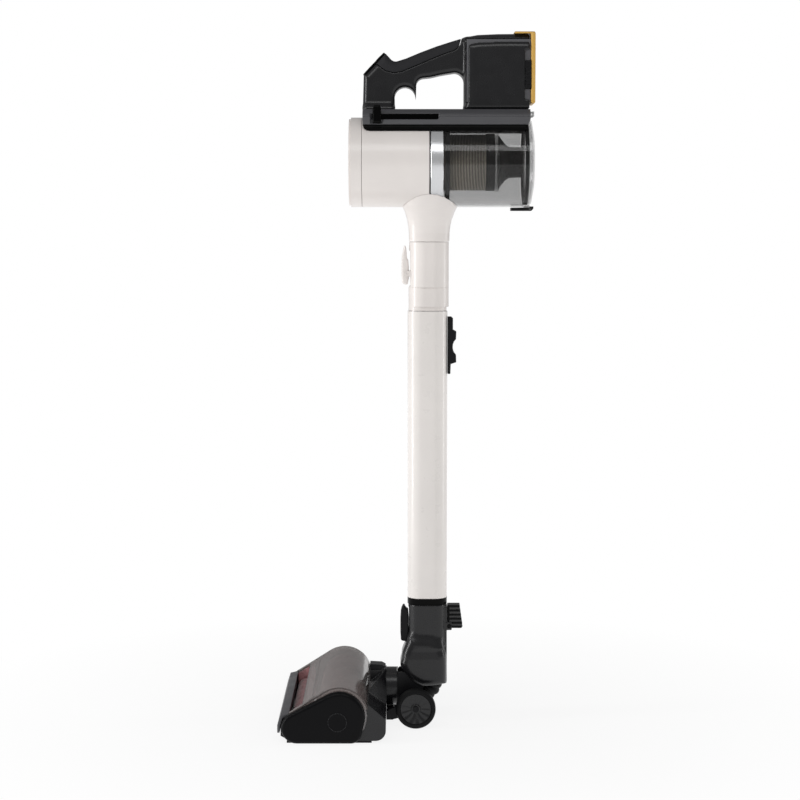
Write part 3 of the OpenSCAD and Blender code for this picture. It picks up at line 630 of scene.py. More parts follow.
GRIP_TOP = [(-47, 867), (-44, 865.4), (-41, 865), (-29, 868.6), (-9.6, 876.6), (11.4, 884.4),
    (30, 890.3), (43.8, 894.4), (50, 893)]
PAD_EDGE = [(-66.5, 862.5), (-60, 856.6), (-54.5, 852.8), (-44.3, 850.2), (-34.3, 851.5),
    (-15, 859.4), (3.6, 867.4), (23.7, 875.3), (33, 878.3), (38, 881.6), (41, 886.5), (42.6, 892),
    (43, 899)]
OPENING = (arc((38.3, 811.4), 8, -90, 0, 6) + arc((34, 838), 12.3, 0, 90, 8)
    + [(16.7, 847.5), (3.6, 844.5)] + arc((-5.5, 834), 9.5, 100, 170, 6)
    + [(-15.3, 822.5), (-15.4, 813.5)] + arc((-29.5, 818.6), 13.4, 10, 190, 14)
    + arc((-34.6, 811.6), 8.2, 190, 270, 6))


def plan_field(X, Y, x0, x1, half, r):
    """A rounded rectangle seen from above, open to the right."""
    return both(corner_field(x0 + r - X, np.abs(Y) - half + r, r), X - x1)


def handle_field(X, Y, Z):
    grip_outline = ([(-84, DECK_Z), (60, DECK_Z)] + GRIP_TOP[::-1]
        + [tuple(SEAT_TOP), tuple(SEAT_FOOT)])
    grip = extruded(grip_outline, X, Y, Z, GRIP_HALF, 9)
    # Battery housing, with a facet along its top edges
    pack_outline = [(46, DECK_Z), (PACK_X, DECK_Z), (PACK_X, TOP_Z - 1.6), (111, TOP_Z - 1.2),
        (89, TOP_Z - 1.4), (64, 898.4), (46, 895.2)]
    pack = meet(flat_field(pack_outline, X, Z), plan_field(X, Y, 46, PACK_X, PACK_HALF, 13), 4)
    crest = np.interp(X, [46, 64, 89, 111, 135],
        [895.2, 898.4, TOP_Z - 1.4, TOP_Z - 1.2, TOP_Z - 1.6])
    facet = (np.abs(Y) - 15) * 0.72 + (Z - crest) * 0.69
    pack = smooth_cut(pack, -facet, 3)
    body = smooth_union(grip, pack, 7)
    # A foot that spreads onto the rail
    foot = box_field(X, Y, Z, (-81.5, -GRIP_HALF - 5, DECK_Z - 10), (60, GRIP_HALF + 5, DECK_Z + 5),
        4)
    body = smooth_union(body, foot, 7)
    body = both(body, DECK_Z + 0.1 - Z)
    hole = flat_field(OPENING, X, Z)
    return both(smooth_cut(body, hole, 7), -hole)


def pad_region(X, Z):
    above = PAD_EDGE + [(43, 912), (-40, 912), tuple(SEAT_TOP + 9 * PANEL_ALONG),
        tuple(SEAT_TOP + 0.2 * PANEL_ALONG)]
    return flat_field(above, X, Z)


def shell_field(X, Y, Z):
    shell = smooth_cut(handle_field(X, Y, Z), pad_region(X, Z) - 0.3, 0.8)
    # Room for the battery, open at the rear, and a recess for each side latch
    room = box_field(X, Y, Z, (PACK_ROOM_X, -PACK_HALF + 2.6, 811.6), (160, PACK_HALF - 2.6, 893),
        0.5)
    recess = box_field(X, np.abs(Y), Z, (123.8, PACK_HALF - 4.8, 815), (140, PACK_HALF + 4, 879),
        2.5)
    return both(smooth_cut(shell, recess, 1.0), -room)


def pad_field(X, Y, Z):
    return meet(handle_field(X, Y, Z), pad_region(X, Z) + 0.3, 0.9)


LO, HI = (-86, -30, 801), (134, 30, 905)
finish_field("handle_shell", shell_field, LO, HI, 0.9, "hand_unit", DARK, "matte_black",
    "handle_left", "handle_right")
finish_field("soft_grip_pad", pad_field, LO, HI, 0.8, "hand_unit", SOFT, "soft_grip", "grip_pad")


def on_panel(u, v, w):
    """Point u along the panel from its foot, v across and w above it."""
    p = PANEL_FOOT + u * PANEL_ALONG + w * PANEL_OUT
    return (p[0], v, p[1])


def panel_slab(name, u0, u1, half, w0, w1, r, rim):
    ring = []
    for cu, cv, a in ((u1 - r, half - r, 0), (u0 + r, half - r, 90), (u0 + r, r - half, 180),
            (u1 - r, r - half, 270)):
        ring += arc((cu, cv), r, a, a + 90, 8)
    obj = loft(name, [[on_panel(u, v, w) for u, v in ring] for w in (w0, w1)])
    return bevel(obj, rim, 3)


finish(panel_slab("display_panel", 0.6, PANEL_LENGTH - 0.6, 12.3, -2.6, 0, 5, 0.5), "hand_unit",
    GLOSS, "gloss_black", "control_panel")
finish(panel_slab("power_key", 8.6, 19.4, 5.4, -0.4, 0.55, 5.3, 0.25), "power_button", GLOSS,
    "gloss_black", "power_button")
finish(panel_slab("mode_key", 24.8, 33.2, 8.1, -0.4, 0.5, 2.5, 0.2), "mode_rocker", BLACK,
    "matte_black", "mode_rocker")

# Orange end plate with its cap over the top of the housing
PLATE_X = span("battery_end_plate", 0)
PLATE_Z = span("battery_end_plate", 2)
PLATE_HALF = span("battery_end_plate", 1)[1]


def end_plate_field(X, Y, Z):
    face = box_field(X, Y, Z, (PACK_X + 0.4, -PLATE_HALF, PLATE_Z[0]),
        (PLATE_X[1], PLATE_HALF, PLATE_Z[1] - 1.6), 2.2)
    rest = both(np.abs(Y) - 14, 0) * 0.12
    top = box_field(X, Y, Z + rest, (111, -22, PLATE_Z[1] - 2.4),
        (PLATE_X[1] - 0.4, 22, PLATE_Z[1]), 0.9)
    notch = box_field(X, np.abs(Y), Z, (PACK_X - 4, 23.8, 828.4), (132.2, 32, 865.6), 0.4)
    return smooth_cut(smooth_union(face, top, 1.2), notch, 0.6)


finish_field("end_plate", end_plate_field, (109, -30, 808), (140, 30, 905), 0.7, "battery", ORANGE,
    "orange", "battery_end_plate")


def squeeze_field(side):
    def field(X, Y, Z):
        body = box_field(X, Y * side, Z, (124.4, PACK_HALF - 2.8, 829.5),
            (131.9, PACK_HALF - 0.1, 864.5), 0.8)
        ribs = ridges(Z, 831.6, 4.6, 0.9)
        ribs = both(both(ribs, PACK_HALF - 0.8 - Y * side), np.abs(Z - 847) - 13)
        return both(body, -both(ribs, X - 130.6))

    return field


for side, tag in SIDES:
    y0, y1 = sorted((side * 23, side * 30))
    finish_field("squeeze_key_" + tag, squeeze_field(side), (123, y0, 828), (134, y1, 866), 0.45,
        "battery_latch_" + tag, BLACK, "matte_black", "battery_latch_" + tag)


# ---- Hand unit: rail, lever and barrel ----

RAIL_X, RAIL_Z = span("chassis_rail", 0), span("chassis_rail", 2)
RAIL_HALF = span("chassis_rail", 1)[1]
RAIL_BREAK = 782.6

rail_side = [(RAIL_X[1], RAIL_Z[1]), (RAIL_X[0], RAIL_Z[1])] + arc((RAIL_X[0] + 10.5,
    RAIL_Z[0] + 10.5), 10.5, 180, 270, 8)
rail_side += [(RAIL_X[1] - 7, RAIL_Z[0]), (RAIL_X[1] - 0.6, 789)]
rail_steps = ((0.4, RAIL_Z[0]), (0, 776), (0, 778.4), (1.4, 780.4), (1.4, 782.6), (0.2, 783.6),
    (0.2, 792.8), (1.6, 793.4), (1.6, 794.2), (0.6, 794.8), (3.5, 797.4))
half_section = [(RAIL_HALF - d, z) for d, z in rail_steps] + [(31, RAIL_Z[1])]
rail_section = half_section + [(-y, z) for y, z in half_section[::-1]]


def rail_field(X, Y, Z):
    whole = meet(flat_field(rail_side, X, Z), flat_field(rail_section, Y, Z), 0.8)
    barrel = radial(Y, Z - BARREL_Z, BARREL_R) - 0.5
    hinge = box_field(X, Y, Z, (104, -15.5, 760), (150, 15.5, 801.8), 0.5)
    channel = box_field(X, Y, Z, (-72.4, -42, 789.4), (13, -30, 796.6))
    slot = both(flat_field([(-74, 800), (-74, 784)] + [(-59, 784), (-57, 789.4)]
        + arc((11, 792.4), 3, -90, 0, 6) + [(14, 800)], X, Z), Y + RAIL_HALF - 4.5)
    cuts = either(either(hinge, channel), both(slot, Z - 796.6))
    return both(both(whole, -barrel), -cuts)


LO, HI = (-86, -46, 771), (133, 46, 805)
finish_field("rail_lower", lambda X, Y, Z: both(rail_field(X, Y, Z), Z - RAIL_BREAK), LO, HI, 0.75,
    "hand_unit", GLOSS, "gloss_black")
finish_field("rail_upper", lambda X, Y, Z: both(rail_field(X, Y, Z), RAIL_BREAK + 0.2 - Z), LO, HI,
    0.75, "hand_unit", CHARCOAL, "charcoal", "chassis_rail")


def lever_field(X, Y, Z):
    outline = [(-71, 784.6), (-60, 784.6), (-60, 803), (-62, 807.6), (-69, 807.6), (-71, 803)]
    thumb = extruded(outline, X, Y + 44.5, Z, 4, 2.4)
    ribs = ridges(Z, 799.5, 2.6, 0.7)
    rib = both(both(np.abs(X + 65.5) - 3.8, np.abs(Z - 802.2) - 4), both(Y + 44.5, ribs))
    groove = smooth_cut(thumb, both(rib, -48.3 - Y + 0.6), 0.3)
    # Only the stem reaches into the slot
    clear = box_field(X, Y, Z, (-80, -RAIL_HALF - 0.2, 780), (-50, -30, 790))
    stem = box_field(X, Y, Z, (-70.5, -43, 790.3), (-61, -31, 795.4), 0.3)
    return either(both(groove, -clear), stem)


finish_field("compactor_slider", lever_field, (-73, -50, 771), (-58, -27, 810), 0.5, "compactor",
    GLOSS, "gloss_black", "compactor_lever")
# Painted shade: a black sheet at the back of the lever's slot, standing in for the shade inside it
finish(slab("slot_shadow_liner", (-72.2, -30.6, 789.6), (12.8, -30.1, 796.4)), "hand_unit", GLOSS,
    "gloss_black")

# Parting beads round the barrel
for bead_name, bead_x, bead_r in (("cap_bead", -84.55, BARREL_R - 0.35),
        ("housing_bead", 1.7, BARREL_R - 1.3)):
    finish(lathe_x(bead_name, [(bead_x - 0.35, bead_r - 1), (bead_x + 0.35, bead_r - 1),
        (bead_x + 0.35, bead_r), (bead_x - 0.35, bead_r)], turns=160), "hand_unit", CAP_BLACK,
        "matte_black")

# ---- Hand unit: clear bin, screen and neck saddle ----

housing_0, housing_1 = span("motor_housing", 0)
LID_X = span("bin_lid", 0)[0]
finish(lathe_x("motor_barrel", [(housing_0 + 0.1, BARREL_R - 0.3), (housing_0 + 0.4, BARREL_R),
    (housing_1 - 0.5, BARREL_R), (housing_1, BARREL_R - 0.5), (housing_1, 24),
    (housing_1 - 3.4, 24), (housing_1 - 3.4, BARREL_R - 2.6), (housing_0 + 0.1, BARREL_R - 2.6)],
    turns=192), "hand_unit", BEIGE, "beige", "motor_housing")
finish(lathe_x("bright_ring", [(3.3, BARREL_R - 0.5), (3.9, BARREL_R), (18.8, BARREL_R),
    (19.3, BARREL_R - 0.5), (19.3, BARREL_R - 4), (3.3, BARREL_R - 4)], turns=160), "hand_unit",
    SILVER, "silver", "trim_ring")
# Screen cage: rings of fine wire round a thin liner
cage = [lathe_x("wire", [(x - 0.42, 36.3), (x, 35.9), (x + 0.42, 36.3), (x, 36.9)], turns=72) for x
    in np.arange(21.2, 74.6, 1.9)]
cage.append(lathe_x("liner", [(19.6, 35.2), (74.8, 35.2), (74.8, 35.6), (19.6, 35.6)], turns=72))
finish(join("wound_screen", cage), "hand_unit", SCREEN, "screen_mesh", "mesh_screen")
finish(lathe_x("screen_hub", [(75, 34), (75, 36.6), (75.4, 37), (86, 37), (86.4, 36.6),
    (86.4, 34)]), "hand_unit", CAP_BLACK, "gloss_black")
finish(lathe_x("clear_band", square(86.8, 91.4, 35, 38)), "hand_unit", SMOKE, "smoke_clear",
    "screen_collar")
bell = [(91.6, AXIS_R), (91.6, 35.5)] + [(91.6 + 16 * i / 12, 35.5 - 15.5 * sin(pi / 2 * i / 12))
    for i in range(1, 13)]
finish(lathe_x("cyclone_funnel", bell + [(121, 19.5), (121, AXIS_R)]), "hand_unit", CAP_BLACK,
    "gloss_black", "cyclone_bell")


def saddle_field(X, Y, Z):
    """Flared seat under the barrel, running down into the wand's neck."""
    z = [633.6, 645, 654, 662, 671, 676, 680, 700]
    left = np.interp(Z, z, [-24.2, -24.4, -25.2, -26.6, -29.2, -31.4, -33.4, -36])
    right = np.interp(Z, z, [28.2, 28.4, 29.4, 31.2, 34.6, 37.0, 38.8, 41])
    depth = np.interp(Z, z, [20.6, 20.9, 22.2, 24.6, 28.8, 31.6, 34, 43])
    middle, half = (left + right) / 2, (right - left) / 2
    power = 2.6
    across = (np.abs((X - middle) / half) ** power + np.abs(Y / depth) ** power) ** (1 / power)
    body = both((across - 1) * depth * 0.8, 633.6 - Z)
    barrel = radial(Y, Z - BARREL_Z, BARREL_R) - 0.02
    bore = both(radial(X - 2, Y, 15), Z - 690)
    return both(both(body, -barrel), -bore)


finish_field("neck_saddle", saddle_field, (-34, -42, 632), (39, 42, 700), 0.8, "hand_unit", BEIGE,
    "beige", "inlet_neck")

# Dark seal inside the lid's rim
finish(lathe_x("lid_seal", square(LID_X + 0.6, LID_X + 5.6, BARREL_R - 5.4, BARREL_R - 3)),
    "bin_lid", TYRE, "rubber_black")

# ---- Wand ----


def sleeve(name, sections, wall, body, material, slot, *nodes):
    """Hollow oval sleeve through sections of (z, half x, half y)."""
    rings = [oval(hx, hy, z) for z, hx, hy in sections]
    rings += [oval(hx - wall, hy - wall, z) for z, hx, hy in sections[::-1]]
    return finish(loft(name, rings, looped=True), body, material, slot, *nodes)


TUBE_Z = span("outer_tube", 2)
INNER_X, INNER_Y, INNER_Z = span("inner_tube", 0)[1], span("inner_tube", 1)[1], span("inner_tube",
    2)
sleeve("wand_tube", [(TUBE_Z[0], TUBE_X, TUBE_Y), (TUBE_Z[1] - 0.4, TUBE_X, TUBE_Y),
    (TUBE_Z[1], TUBE_X - 0.3, TUBE_Y - 0.3)], 1.5, "lower_wand", TUBE_BEIGE, "beige_tube",
    "outer_tube")
sleeve("inner_pipe", [(INNER_Z[0], INNER_X, INNER_Y), (INNER_Z[1], INNER_X, INNER_Y)], 1.4,
    "upper_wand", INNER, "inner_metal", "inner_tube")
sleeve("collar_neck", [(TUBE_Z[1] + 0.5, TUBE_X - 1.2, TUBE_Y - 1.2),
    (span("upper_collar", 2)[0] + 0.3, TUBE_X - 1.2, TUBE_Y - 1.2)], 1.2, "upper_wand", BEIGE,
    "beige")


def latch_field(X, Y, Z):
    lever = [(-24.6, 578), (-31, 578), (-34, 581), (-34.2, 611.7), (-32.6, 620), (-30.8, 628),
        (-29.2, 629), (-27.6, 624), (-27.2, 612), (-24.6, 609)]
    body = extruded(soften(lever, 1), X, Y, Z, 7, 2.2)
    split = both(np.abs(Z - 611.7) - 0.35, X + 31.6)
    pins = both(radial(X + 26.6, Z - 592, 1.6), np.abs(Y) - 10.2)
    return either(both(body, -split), pins)


def slider_field(X, Y, Z):
    face = ([(TUBE_X + 0.35, 461), (29.9, 461), (30.4, 474), (37.6, 476.4)]
        + arc((47.5, 496.5), 14.5, 225, 135, 10)
        + [(37.6, 516.6), (33.2, 519), (33.2, 534), (31, 536), (TUBE_X + 0.35, 536)])
    body = extruded(face, X, Y, Z, 7.5, 1.6)
    ribs = ridges(Z, 490, 3.0, 0.8)
    grooves = both(both(ribs, 33.0 - X), np.abs(Z - 496.5) - 9)
    grooves = both(grooves, np.abs(Y) - 6)
    return smooth_cut(body, both(grooves, -(X - 32.2)), 0.3)


finish_field("wand_release_key", latch_field, (-36, -11, 576), (-22, 11, 631), 0.5, "release_latch",
    BEIGE, "beige", "release_latch")
finish_field("length_key", slider_field, (25, -9, 459), (40, 9, 538), 0.5, "length_slider", BLACK,
    "matte_black", "length_slider")


# ---- Neck, hose, pedal and wheels ----

SKIRT_HALF = span("neck_shell", 1)[1]
NECK_TOP = span("neck_shell", 2)[1]
PITCH = (-6.0, 60.0)


def neck_field(X, Y, Z):
    skirt = ([(-24.4, 116), (-25.6, 110), (-28.6, 104), (-33.2, 94)]
        + arc((-18.5, 78), 17, 155, 205, 8) +
        [(-31.5, 66), (-22, 55.5), (-12, 48.4), (-1, 46.3), (23.3, 50), (25.6, 54), (24.6, 112)])
    half = np.interp(Z, [40, 60, 85, 105, 122, 160],
        [25.4, SKIRT_HALF, SKIRT_HALF, 23.5, 20.5, 20.5])
    # Ball-like at the front, flatter towards the spine
    ball = meet(flat_field(soften(skirt, 2), X, Z), np.abs(Y) - half, 12)
    column = both(corner_field(np.abs(X) - 25 + 17, np.abs(Y) - 20.5 + 17, 17), 104 - Z)
    body = both(smooth_union(ball, column, 9), Z - NECK_TOP + 0.1)
    spine = extruded([(17.5, 50.5), (25.4, 50.5), (26, 54), (25.8, 151), (19.5, 151)], X, Y, Z,
        12.5, 2)
    body = smooth_union(body, spine, 0.8)
    inside = box_field(X, Y, Z, (-32.5, -19.4, 30), (21.5, 19.4, 86), 2)
    inside = either(inside, box_field(X, Y, Z, (-44, -19.4, 30), (0, 19.4, 68), 1))
    inside = either(inside, box_field(X, Y, Z, (10, -16.6, 30), (23.3, 16.6, 74), 1))
    bore = both(radial(X, Y, 15.6), 80 - Z)
    recess = box_field(X, Y, Z, (-31, -7.7, 105.3), (-20.8, 7.7, 152), 0.5)
    return smooth_cut(body, either(either(inside, bore), recess), 0.7)


def pedal_tabs(X, Y, Z):
    tabs = box_field(X, np.abs(Y), Z, (20, 9.4, 122), (32.4, 12.6, 133), 1.2)
    tabs = both(tabs, -radial(X - 29, Z - 127.5, 2.55))
    return either(tabs, box_field(X, Y, Z, (22, -12.4, 121.5), (26.3, 12.4, 154), 1))


def neck_whole(X, Y, Z):
    stub = both(radial(X - 6, Y, 14.5), both(53.2 - Z, Z - 88))
    stub = both(stub, -radial(X - 6, Y, 12.5))
    return either(either(neck_field(X, Y, Z), pedal_tabs(X, Y, Z)), stub)


finish_field("neck_moulding", neck_whole, (-38, -27, 44), (34, 27, 158), 0.8, "neck", DARK,
    "matte_black", "neck_shell")


def button_field(X, Y, Z):
    face = [(-24.3, 106), (-33, 106), (-35.5, 109), (-35.5, 146), (-33, 153), (-30.5, 155),
        (-28, 150), (-24.3, 148)]
    body = extruded(soften(face, 1), X, Y, Z, 7, 2)
    ribs = both(ridges(Z, 138, 2.8, 0.6), np.abs(Z - 144.5) - 6)
    split = np.abs(Z - 136.6) - 0.35
    return both(body, -both(either(ribs, split), both(X + 34.3, np.abs(Y) - 6)))


def pedal_field(X, Y, Z):
    tread = [(26.6, 124), (45, 124), (47, 126.4), (43, 155), (26.6, 155)]
    body = extruded(tread, X, Y, Z, 9, 1.4)
    ribs = ridges(Z, 125.45, 5.5, 1.4)
    grooves = both(both(ribs, 29.5 - X), np.abs(Z - 139.2) - 12.8)
    lug = both(radial(X - 29, Z - 127.5, 4), np.abs(Y) - 9)
    axle = both(radial(X - 29, Z - 127.5, 2.4), np.abs(Y) - 12.4)
    return either(smooth_union(smooth_cut(body, grooves, 0.5), lug, 1), axle)


finish_field("neck_release_key", button_field, (-37, -9, 104), (-23, 9, 157), 0.45, "neck_button",
    BLACK, "matte_black", "neck_button")
finish_field("pedal_tread", pedal_field, (22, -14, 121), (49, 14, 157), 0.5, "foot_pedal",
    CAP_BLACK, "matte_black", "foot_pedal")

# Ribbed hose from the yoke's outlet, round a bend, up into the neck
HOSE_R = 14.3
RIB_PITCH = 5.5
route = [(-22 + 14 * i / 14, 38) for i in range(14)] + arc((-8, 52), 14, -90, 0, 36) + [(6, 53)]
hose_rings = []
travelled = 0.0
for i, (cx, cz) in enumerate(route):
    before, after = np.array(route[max(i - 1, 0)]), np.array(route[min(i + 1, len(route) - 1)])
    ahead = (after - before) / np.linalg.norm(after - before)
    travelled += float(np.linalg.norm(np.array(route[i]) - before))
    radius = HOSE_R - 2.4 + 2.4 * abs(cos(pi * travelled / RIB_PITCH)) ** 0.6
    out = np.array((ahead[1], -ahead[0]))
    reach = [(radius * cos(a), radius * sin(a)) for a in turn(64)]
    hose_rings.append([(cx + out[0] * u, v, cz + out[1] * u) for u, v in reach])
hose = loft("ribbed_hose", hose_rings, sharp=60)
coat_with(hose, TYRE)
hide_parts("bellows_hose")
tuple(place([(-12, 0, 38)])[0])
tuple(place([(5, 0, 52)])[0])
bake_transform(hose)


# ---- Floor head ----

HOOD_R = span("clear_hood", 2)[1] - HOOD_C[1]
CAP_IN = span("clear_hood", 1)[1] + 0.2
NOSE = (-167.0, 20.5, 20.0)
KNOB = (-115.5, 28.2)
HOOD_WRAP = [(*HOOD_C, HOOD_R), NOSE]
CAP_WRAP = [(-98.5, 14, 14), (*HOOD_C, HOOD_R - 4.9), (-167, 20, 20)]
WINDOW_X = (-177.0, -160.0)
HOOD_REAR_Z = 43.6


def end_cap(name, side, node):
    """Cap with a generously rounded rim."""
    rim = 5.0
    steps = 8
    inner, outer = side * CAP_IN, side * (HEAD_HALF - 0.3)
    rings = [[(x, inner, z) for x, z in wrap(CAP_WRAP, 0)]]
    for i in range(steps + 1):
        a = pi / 2 * i / steps
        y = outer - side * rim * (1 - sin(a))
        rings.append([(x, y, z) for x, z in wrap(CAP_WRAP, -rim * (1 - cos(a)))])
    finish(loft(name, rings, sharp=50), "floor_head", CAP_BLACK, "gloss_black", node)


for side, tag in SIDES:
    end_cap("cap_" + tag, side, "end_cap_" + tag)
# Painted highlight: a pale hairline along each cap's rim where it meets the hood
RIM_HIGHLIGHT = ((-0.6, -0.35), (0.12, -0.35), (0.12, 0.35), (-0.6, 0.35))
for side, tag in SIDES:
    line = [p for p in wrap(CAP_WRAP, -0.1, 24) if p[1] > 16 and p[0] > -150]
    line.sort(key=lambda p: atan2(p[1] - 14, p[0] + 120), reverse=True)
    rings = []
    for x, z in line:
        out = np.array((x - HOOD_C[0], z - 20.0))
        out = out / np.linalg.norm(out)
        y = side * (CAP_IN + 0.9)
        rings.append([(x + out[0] * u, y + v, z + out[1] * u) for u, v in RIM_HIGHLIGHT])
    finish(loft("cap_rim_highlight_" + tag, rings), "floor_head", CHARCOAL, "charcoal")

# Twist knob, nearly flush, with a ring of dots
knob_steps = ((2.4, AXIS_R), (0.02, AXIS_R), (0.02, 11.2), (0.3, 11.5), (0.3, 11.9), (0.02, 12.2),
    (0.02, 12.9), (0.3, 13.1), (2.4, 13.1))
knob_profile = [(d - HEAD_HALF, r) for d, r in knob_steps]
finish(lathe_y("roller_knob", knob_profile, KNOB), "roller_lock", CAP_BLACK, "gloss_black",
    "roller_lock_knob")
dots = []
for a in turn(36):
    x, z = KNOB[0] + 11.7 * cos(a), KNOB[1] + 11.7 * sin(a)
    dots.append(slab("dot", (x - 0.35, -HEAD_HALF + 0.06, z - 0.35),
        (x + 0.35, -HEAD_HALF + 0.5, z + 0.35)))
finish(join("knob_dots", dots), "roller_lock", CHARCOAL, "charcoal")


def strip(name, outline, thick, y0, y1):
    """Sheet between an outline and its inward offset, from y0 to y1."""
    outer = outline(0.0)
    inner = outline(-thick)[::-1]
    return plate(name, outer + inner, y0, y1)


TOUCH = touch_angle(HOOD_WRAP[0], NOSE) % 360
SLOPE = -1 / tan(radians(TOUCH))
REAR = degrees(asin((HOOD_REAR_Z - HOOD_C[1]) / HOOD_R))


def hood_outline(front_x, rear=REAR):
    """Hood section from its rear over the top and down to front_x."""

    def outline(grow):
        points = arc(HOOD_C, HOOD_R + grow, rear, TOUCH, 40)
        x, z = points[-1]
        for k in range(1, 9):
            px = x + (front_x - x) * k / 8
            points.append((px, z + (px - x) * SLOPE))
        return points

    return outline


hood_parts = [strip("hood", hood_outline(WINDOW_X[1]), 2.0, -CAP_IN + 0.2, CAP_IN - 0.2)]
for side in (-1, 1):
    y0, y1 = sorted((side * 112, side * (CAP_IN - 0.2)))
    hood_parts.append(strip("cheek", hood_outline(WINDOW_X[0], TOUCH - 2), 2.0, y0, y1))
    y0, y1 = sorted((side * (CAP_IN - 1.4), side * (CAP_IN - 0.2)))
    hood_parts.append(strip("brow", hood_outline(WINDOW_X[0]), 5.2, y0, y1))
hood = join("hood_window", hood_parts)
hood.data.shade_smooth()
hood.data.set_sharp_from_angle(angle=radians(35))
finish(hood, "floor_head", HOOD, "smoke_hood", "clear_hood")
# Lip along the window's rear edge and the crease above it
for lip_name, lip_x in (("window_lip", WINDOW_X[1] + 0.4), ("hood_crease", -148.0)):
    base_x, base_z = arc(HOOD_C, HOOD_R, TOUCH, TOUCH, 1)[0]
    z = base_z + (lip_x - base_x) * SLOPE
    section = [(lip_x - 0.7, z - 1.8), (lip_x + 0.9, z - 0.9), (lip_x + 0.9, z + 0.05),
        (lip_x - 0.7, z - 0.4)]
    finish(plate(lip_name, section, -111.8, 111.8, 0.15, 2), "floor_head", CHARCOAL, "charcoal")


# Bumper bar, on a carrier that closes the gap to the roller
bar = [(-192.2, 12.2), (-189.2, 12.2), (-188.6, 21), (-185.2, 31), (-177.4, 34.6), (-177.4, 37.0),
    (-188.2, 34.4), (-192.2, 22)]
finish(plate("bumper_bar", bar, -CAP_IN + 3.2, CAP_IN - 3.2, 0.5, 2), "floor_head", CHARCOAL,
    "charcoal", "front_bumper")
carrier = [(-188, 8), (-182.6, 5), (-178.4, 5), (-178.2, 24), (-178.6, 33), (-184.4, 31),
    (-188, 21)]
finish(plate("bumper_carrier", carrier, -CAP_IN + 4, CAP_IN - 4, 0.4, 2), "floor_head", BLACK,
    "matte_black")

# Felt that closes the window beyond the nose roller's ends
felt_top = [p for p in hood_outline(WINDOW_X[0])(-2.4) if p[0] < -151.5]
for side, tag in SIDES:
    y0, y1 = sorted((side * 111.6, side * 113.2))
    felt = plate("felt_" + tag, [(-176.6, 20.5), (-151.6, 20.5)] + felt_top, y0, y1)
    finish(felt, "floor_head", ROLLER, "roller_core")

# Burgundy pile wound in two hands along the main brush
BRUSH_R = half_height("brush_tufts")
BRUSH_HALF = span("brush_tufts", 1)[1]
CORE_R = 17.1
TUFT_RINGS, TUFT_POINTS = 150, 96
rings = []
for i in range(TUFT_RINGS + 1):
    y = -BRUSH_HALF + 2 * BRUSH_HALF * i / TUFT_RINGS
    ring = []
    for a in turn(TUFT_POINTS):
        tuft = 0.5 + 0.5 * sin(4 * (a + abs(y) / 33.0))
        r = BRUSH_R - 0.2 - 2.2 * (1 - tuft) ** 2 - 0.25 * sin(37 * a + i * 2.1)
        ring.append(round_y(HOOD_C, y, r, a))
    rings.append(ring)
brush = loft("pile_brush", rings, caps=False, sharp=80)
ends = [lathe_y("pile_end", square(y, y + 2, CORE_R, BRUSH_R - 0.8), HOOD_C) for y in
    (-BRUSH_HALF + 0.1, BRUSH_HALF - 2.1)]
finish(join("pile_brush", [brush] + ends), "brush_roller", BURGUNDY, "burgundy_plush",
    "brush_tufts")

FRONT_C = (middle("front_roller", 0), middle("front_roller", 2))
FRONT_R = half_height("front_roller")
ROLL_HALF = 111.0
PIN_END = span("front_roller", 1)[1]
rings = []
for i in range(121):
    y = -ROLL_HALF + 2 * ROLL_HALF * i / 120
    waved = [(a, FRONT_R - 0.35 + 0.3 * sin(3 * a + y / 4.5)) for a in turn(48)]
    rings.append([round_y(FRONT_C, y, r, a) for a, r in waved])
roller = [loft("roller", rings, sharp=80),
    lathe_y("pin", square(-PIN_END, PIN_END, AXIS_R, 3), FRONT_C, 24)]
finish(join("nose_roller", roller), "front_roller", ROLLER, "roller_core", "front_roller")


# Wheels: soft tyre and dished hub with shallow facets
WHEEL_Y = span("wheel_right", 1)
for side, tag in SIDES:
    y0, y1 = side * WHEEL_Y[0], side * WHEEL_Y[1]
    near = ((0, 4.2), (0, WHEEL_R - 2), (0.6, WHEEL_R - 0.6), (2, WHEEL_R))
    far = ((2.4, WHEEL_R), (0.8, WHEEL_R - 0.9), (0, WHEEL_R - 2.6), (0, 21.4), (0.9, 20.2),
        (4.6, 19.9), (4.6, 4.2))
    profile = [(y0 + side * d, r) for d, r in near] + [(y1 - side * d, r) for d, r in far]
    tyre = lathe_y("tyre_" + tag, profile, WHEEL_C, 128)
    finish(tyre, "wheel_" + tag, TYRE, "rubber_black", "wheel_" + tag)
    hub_rings = [[round_y(WHEEL_C, y1 - side * 4.5, 19.8, a) for a in turn(128)]]
    for r, depth in ((19.8, 1.4), (18.6, 1.6), (12, 2.6), (6.4, 3.4), (5.8, 2.4), (0.1, 2.2)):
        ring = []
        for a in turn(128):
            wave = 0.28 * sin(12 * a) * (1 if 6.6 < r < 18.7 else 0)
            ring.append(round_y(WHEEL_C, y1 - side * (depth + wave), r, a))
        hub_rings.append(ring)
    finish(loft("hub_" + tag, hub_rings, sharp=30), "wheel_" + tag, DARK, "matte_black")

# Pivot pins, hidden under the neck's cheeks
PIN_IN = 15.4
pins = [lathe_y("pin", square(s * PIN_IN, s * (SKIRT_HALF - 1.2), AXIS_R, 4), PITCH, 32) for s in
    (-1, 1)]
finish(join("pitch_pins", pins), "neck", STEEL, "metal", "pivot_pins")


# ---- Floor, lights and camera ----


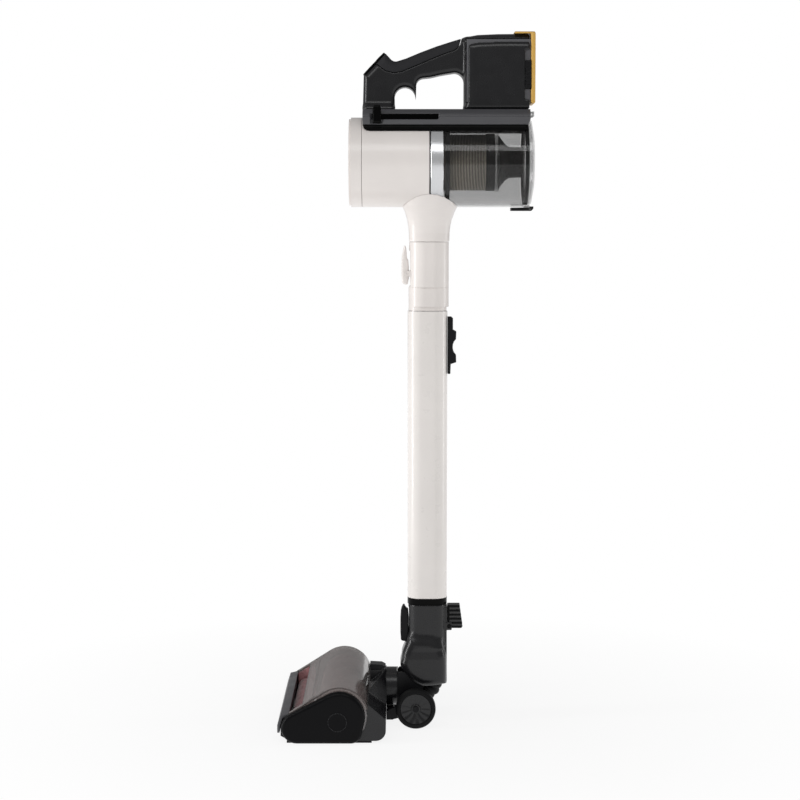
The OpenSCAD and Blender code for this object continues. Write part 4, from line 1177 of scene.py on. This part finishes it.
def floor_material():
    """Pale matt floor that brightens into the white background."""
    look = Look("pale floor")
    look.link(look.mix(look.spread(look.noise(3, 4), 0, 1), linear((244, 244, 244)),
        linear((250, 250, 250))), "Base Color")
    look.set(rough=0.8, specular=0.0)
    far = look.node("ShaderNodeVectorMath", {0: look.coords}, operation="LENGTH").outputs["Value"]
    glow = look.node("ShaderNodeEmission", {"Color": (1, 1, 1, 1), "Strength": 1.0}).outputs[0]
    blend = look.node("ShaderNodeMixShader", {0: look.spread(far, 0.86, 1.0, (0.15, 0.7))})
    connect = look.tree.links.new
    connect(look.shader.outputs[0], blend.inputs[1])
    connect(glow, blend.inputs[2])
    connect(blend.outputs[0], look.tree.nodes["Material Output"].inputs[0])
    return look.mat


def area_light(name, where, aim, size, power, size_y):
    data = bpy.data.lights.new(name, "AREA")
    data.shape = "RECTANGLE"
    data.size = size
    data.size_y = size_y
    data.energy = power
    lamp = add_object(name, data)
    lamp.location = where
    lamp.rotation_euler = (Vector(aim) - Vector(where)).to_track_quat("-Z", "Y").to_euler()


floor_mesh = bpy.data.meshes.new("floor")
floor_mesh.from_pydata([(-6, -6, 0), (6, -6, 0), (6, 6, 0), (-6, 6, 0)], [], [(0, 1, 2, 3)])
floor = add_object("floor", floor_mesh)
floor.data.materials.append(floor_material())

world = bpy.data.worlds.new("studio")
world.use_nodes = True
nodes, links = world.node_tree.nodes, world.node_tree.links
soft_sky = nodes["Background"]
soft_sky.inputs[1].default_value = 0.32
bright = nodes.new("ShaderNodeBackground")
for sky in (soft_sky, bright):
    sky.inputs[0].default_value = (1, 1, 1, 1)
seen = nodes.new("ShaderNodeLightPath")
choose = nodes.new("ShaderNodeMixShader")
links.new(seen.outputs["Is Camera Ray"], choose.inputs[0])
links.new(soft_sky.outputs[0], choose.inputs[1])
links.new(bright.outputs[0], choose.inputs[2])
links.new(choose.outputs[0], nodes["World Output"].inputs[0])
bpy.context.scene.world = world

area_light("key", (-0.3, -1.45, 1.85), (0, 0, 0.73), 2.4, 11, 0.5)
area_light("right strip", (1.6, 0.1, 0.6), (0, 0, 0.4), 0.25, 6, 1.8)
area_light("left strip", (-1.6, -0.3, 0.6), (0, 0, 0.4), 0.25, 16, 1.8)

CAMERA_AT = (-0.0085, -2.55, 0.662)
CAMERA_DOWN = 5.28  # degrees below level
LENS, SENSOR = 87.77, 36

camera_data = bpy.data.cameras.new("camera")
camera_data.sensor_width = SENSOR
camera_data.lens = LENS
camera = add_object("camera", camera_data)
camera.location = CAMERA_AT
camera.rotation_euler = (radians(90 - CAMERA_DOWN), 0, 0)
bpy.context.scene.camera = camera
bpy.context.scene.view_settings.view_transform = "Standard"
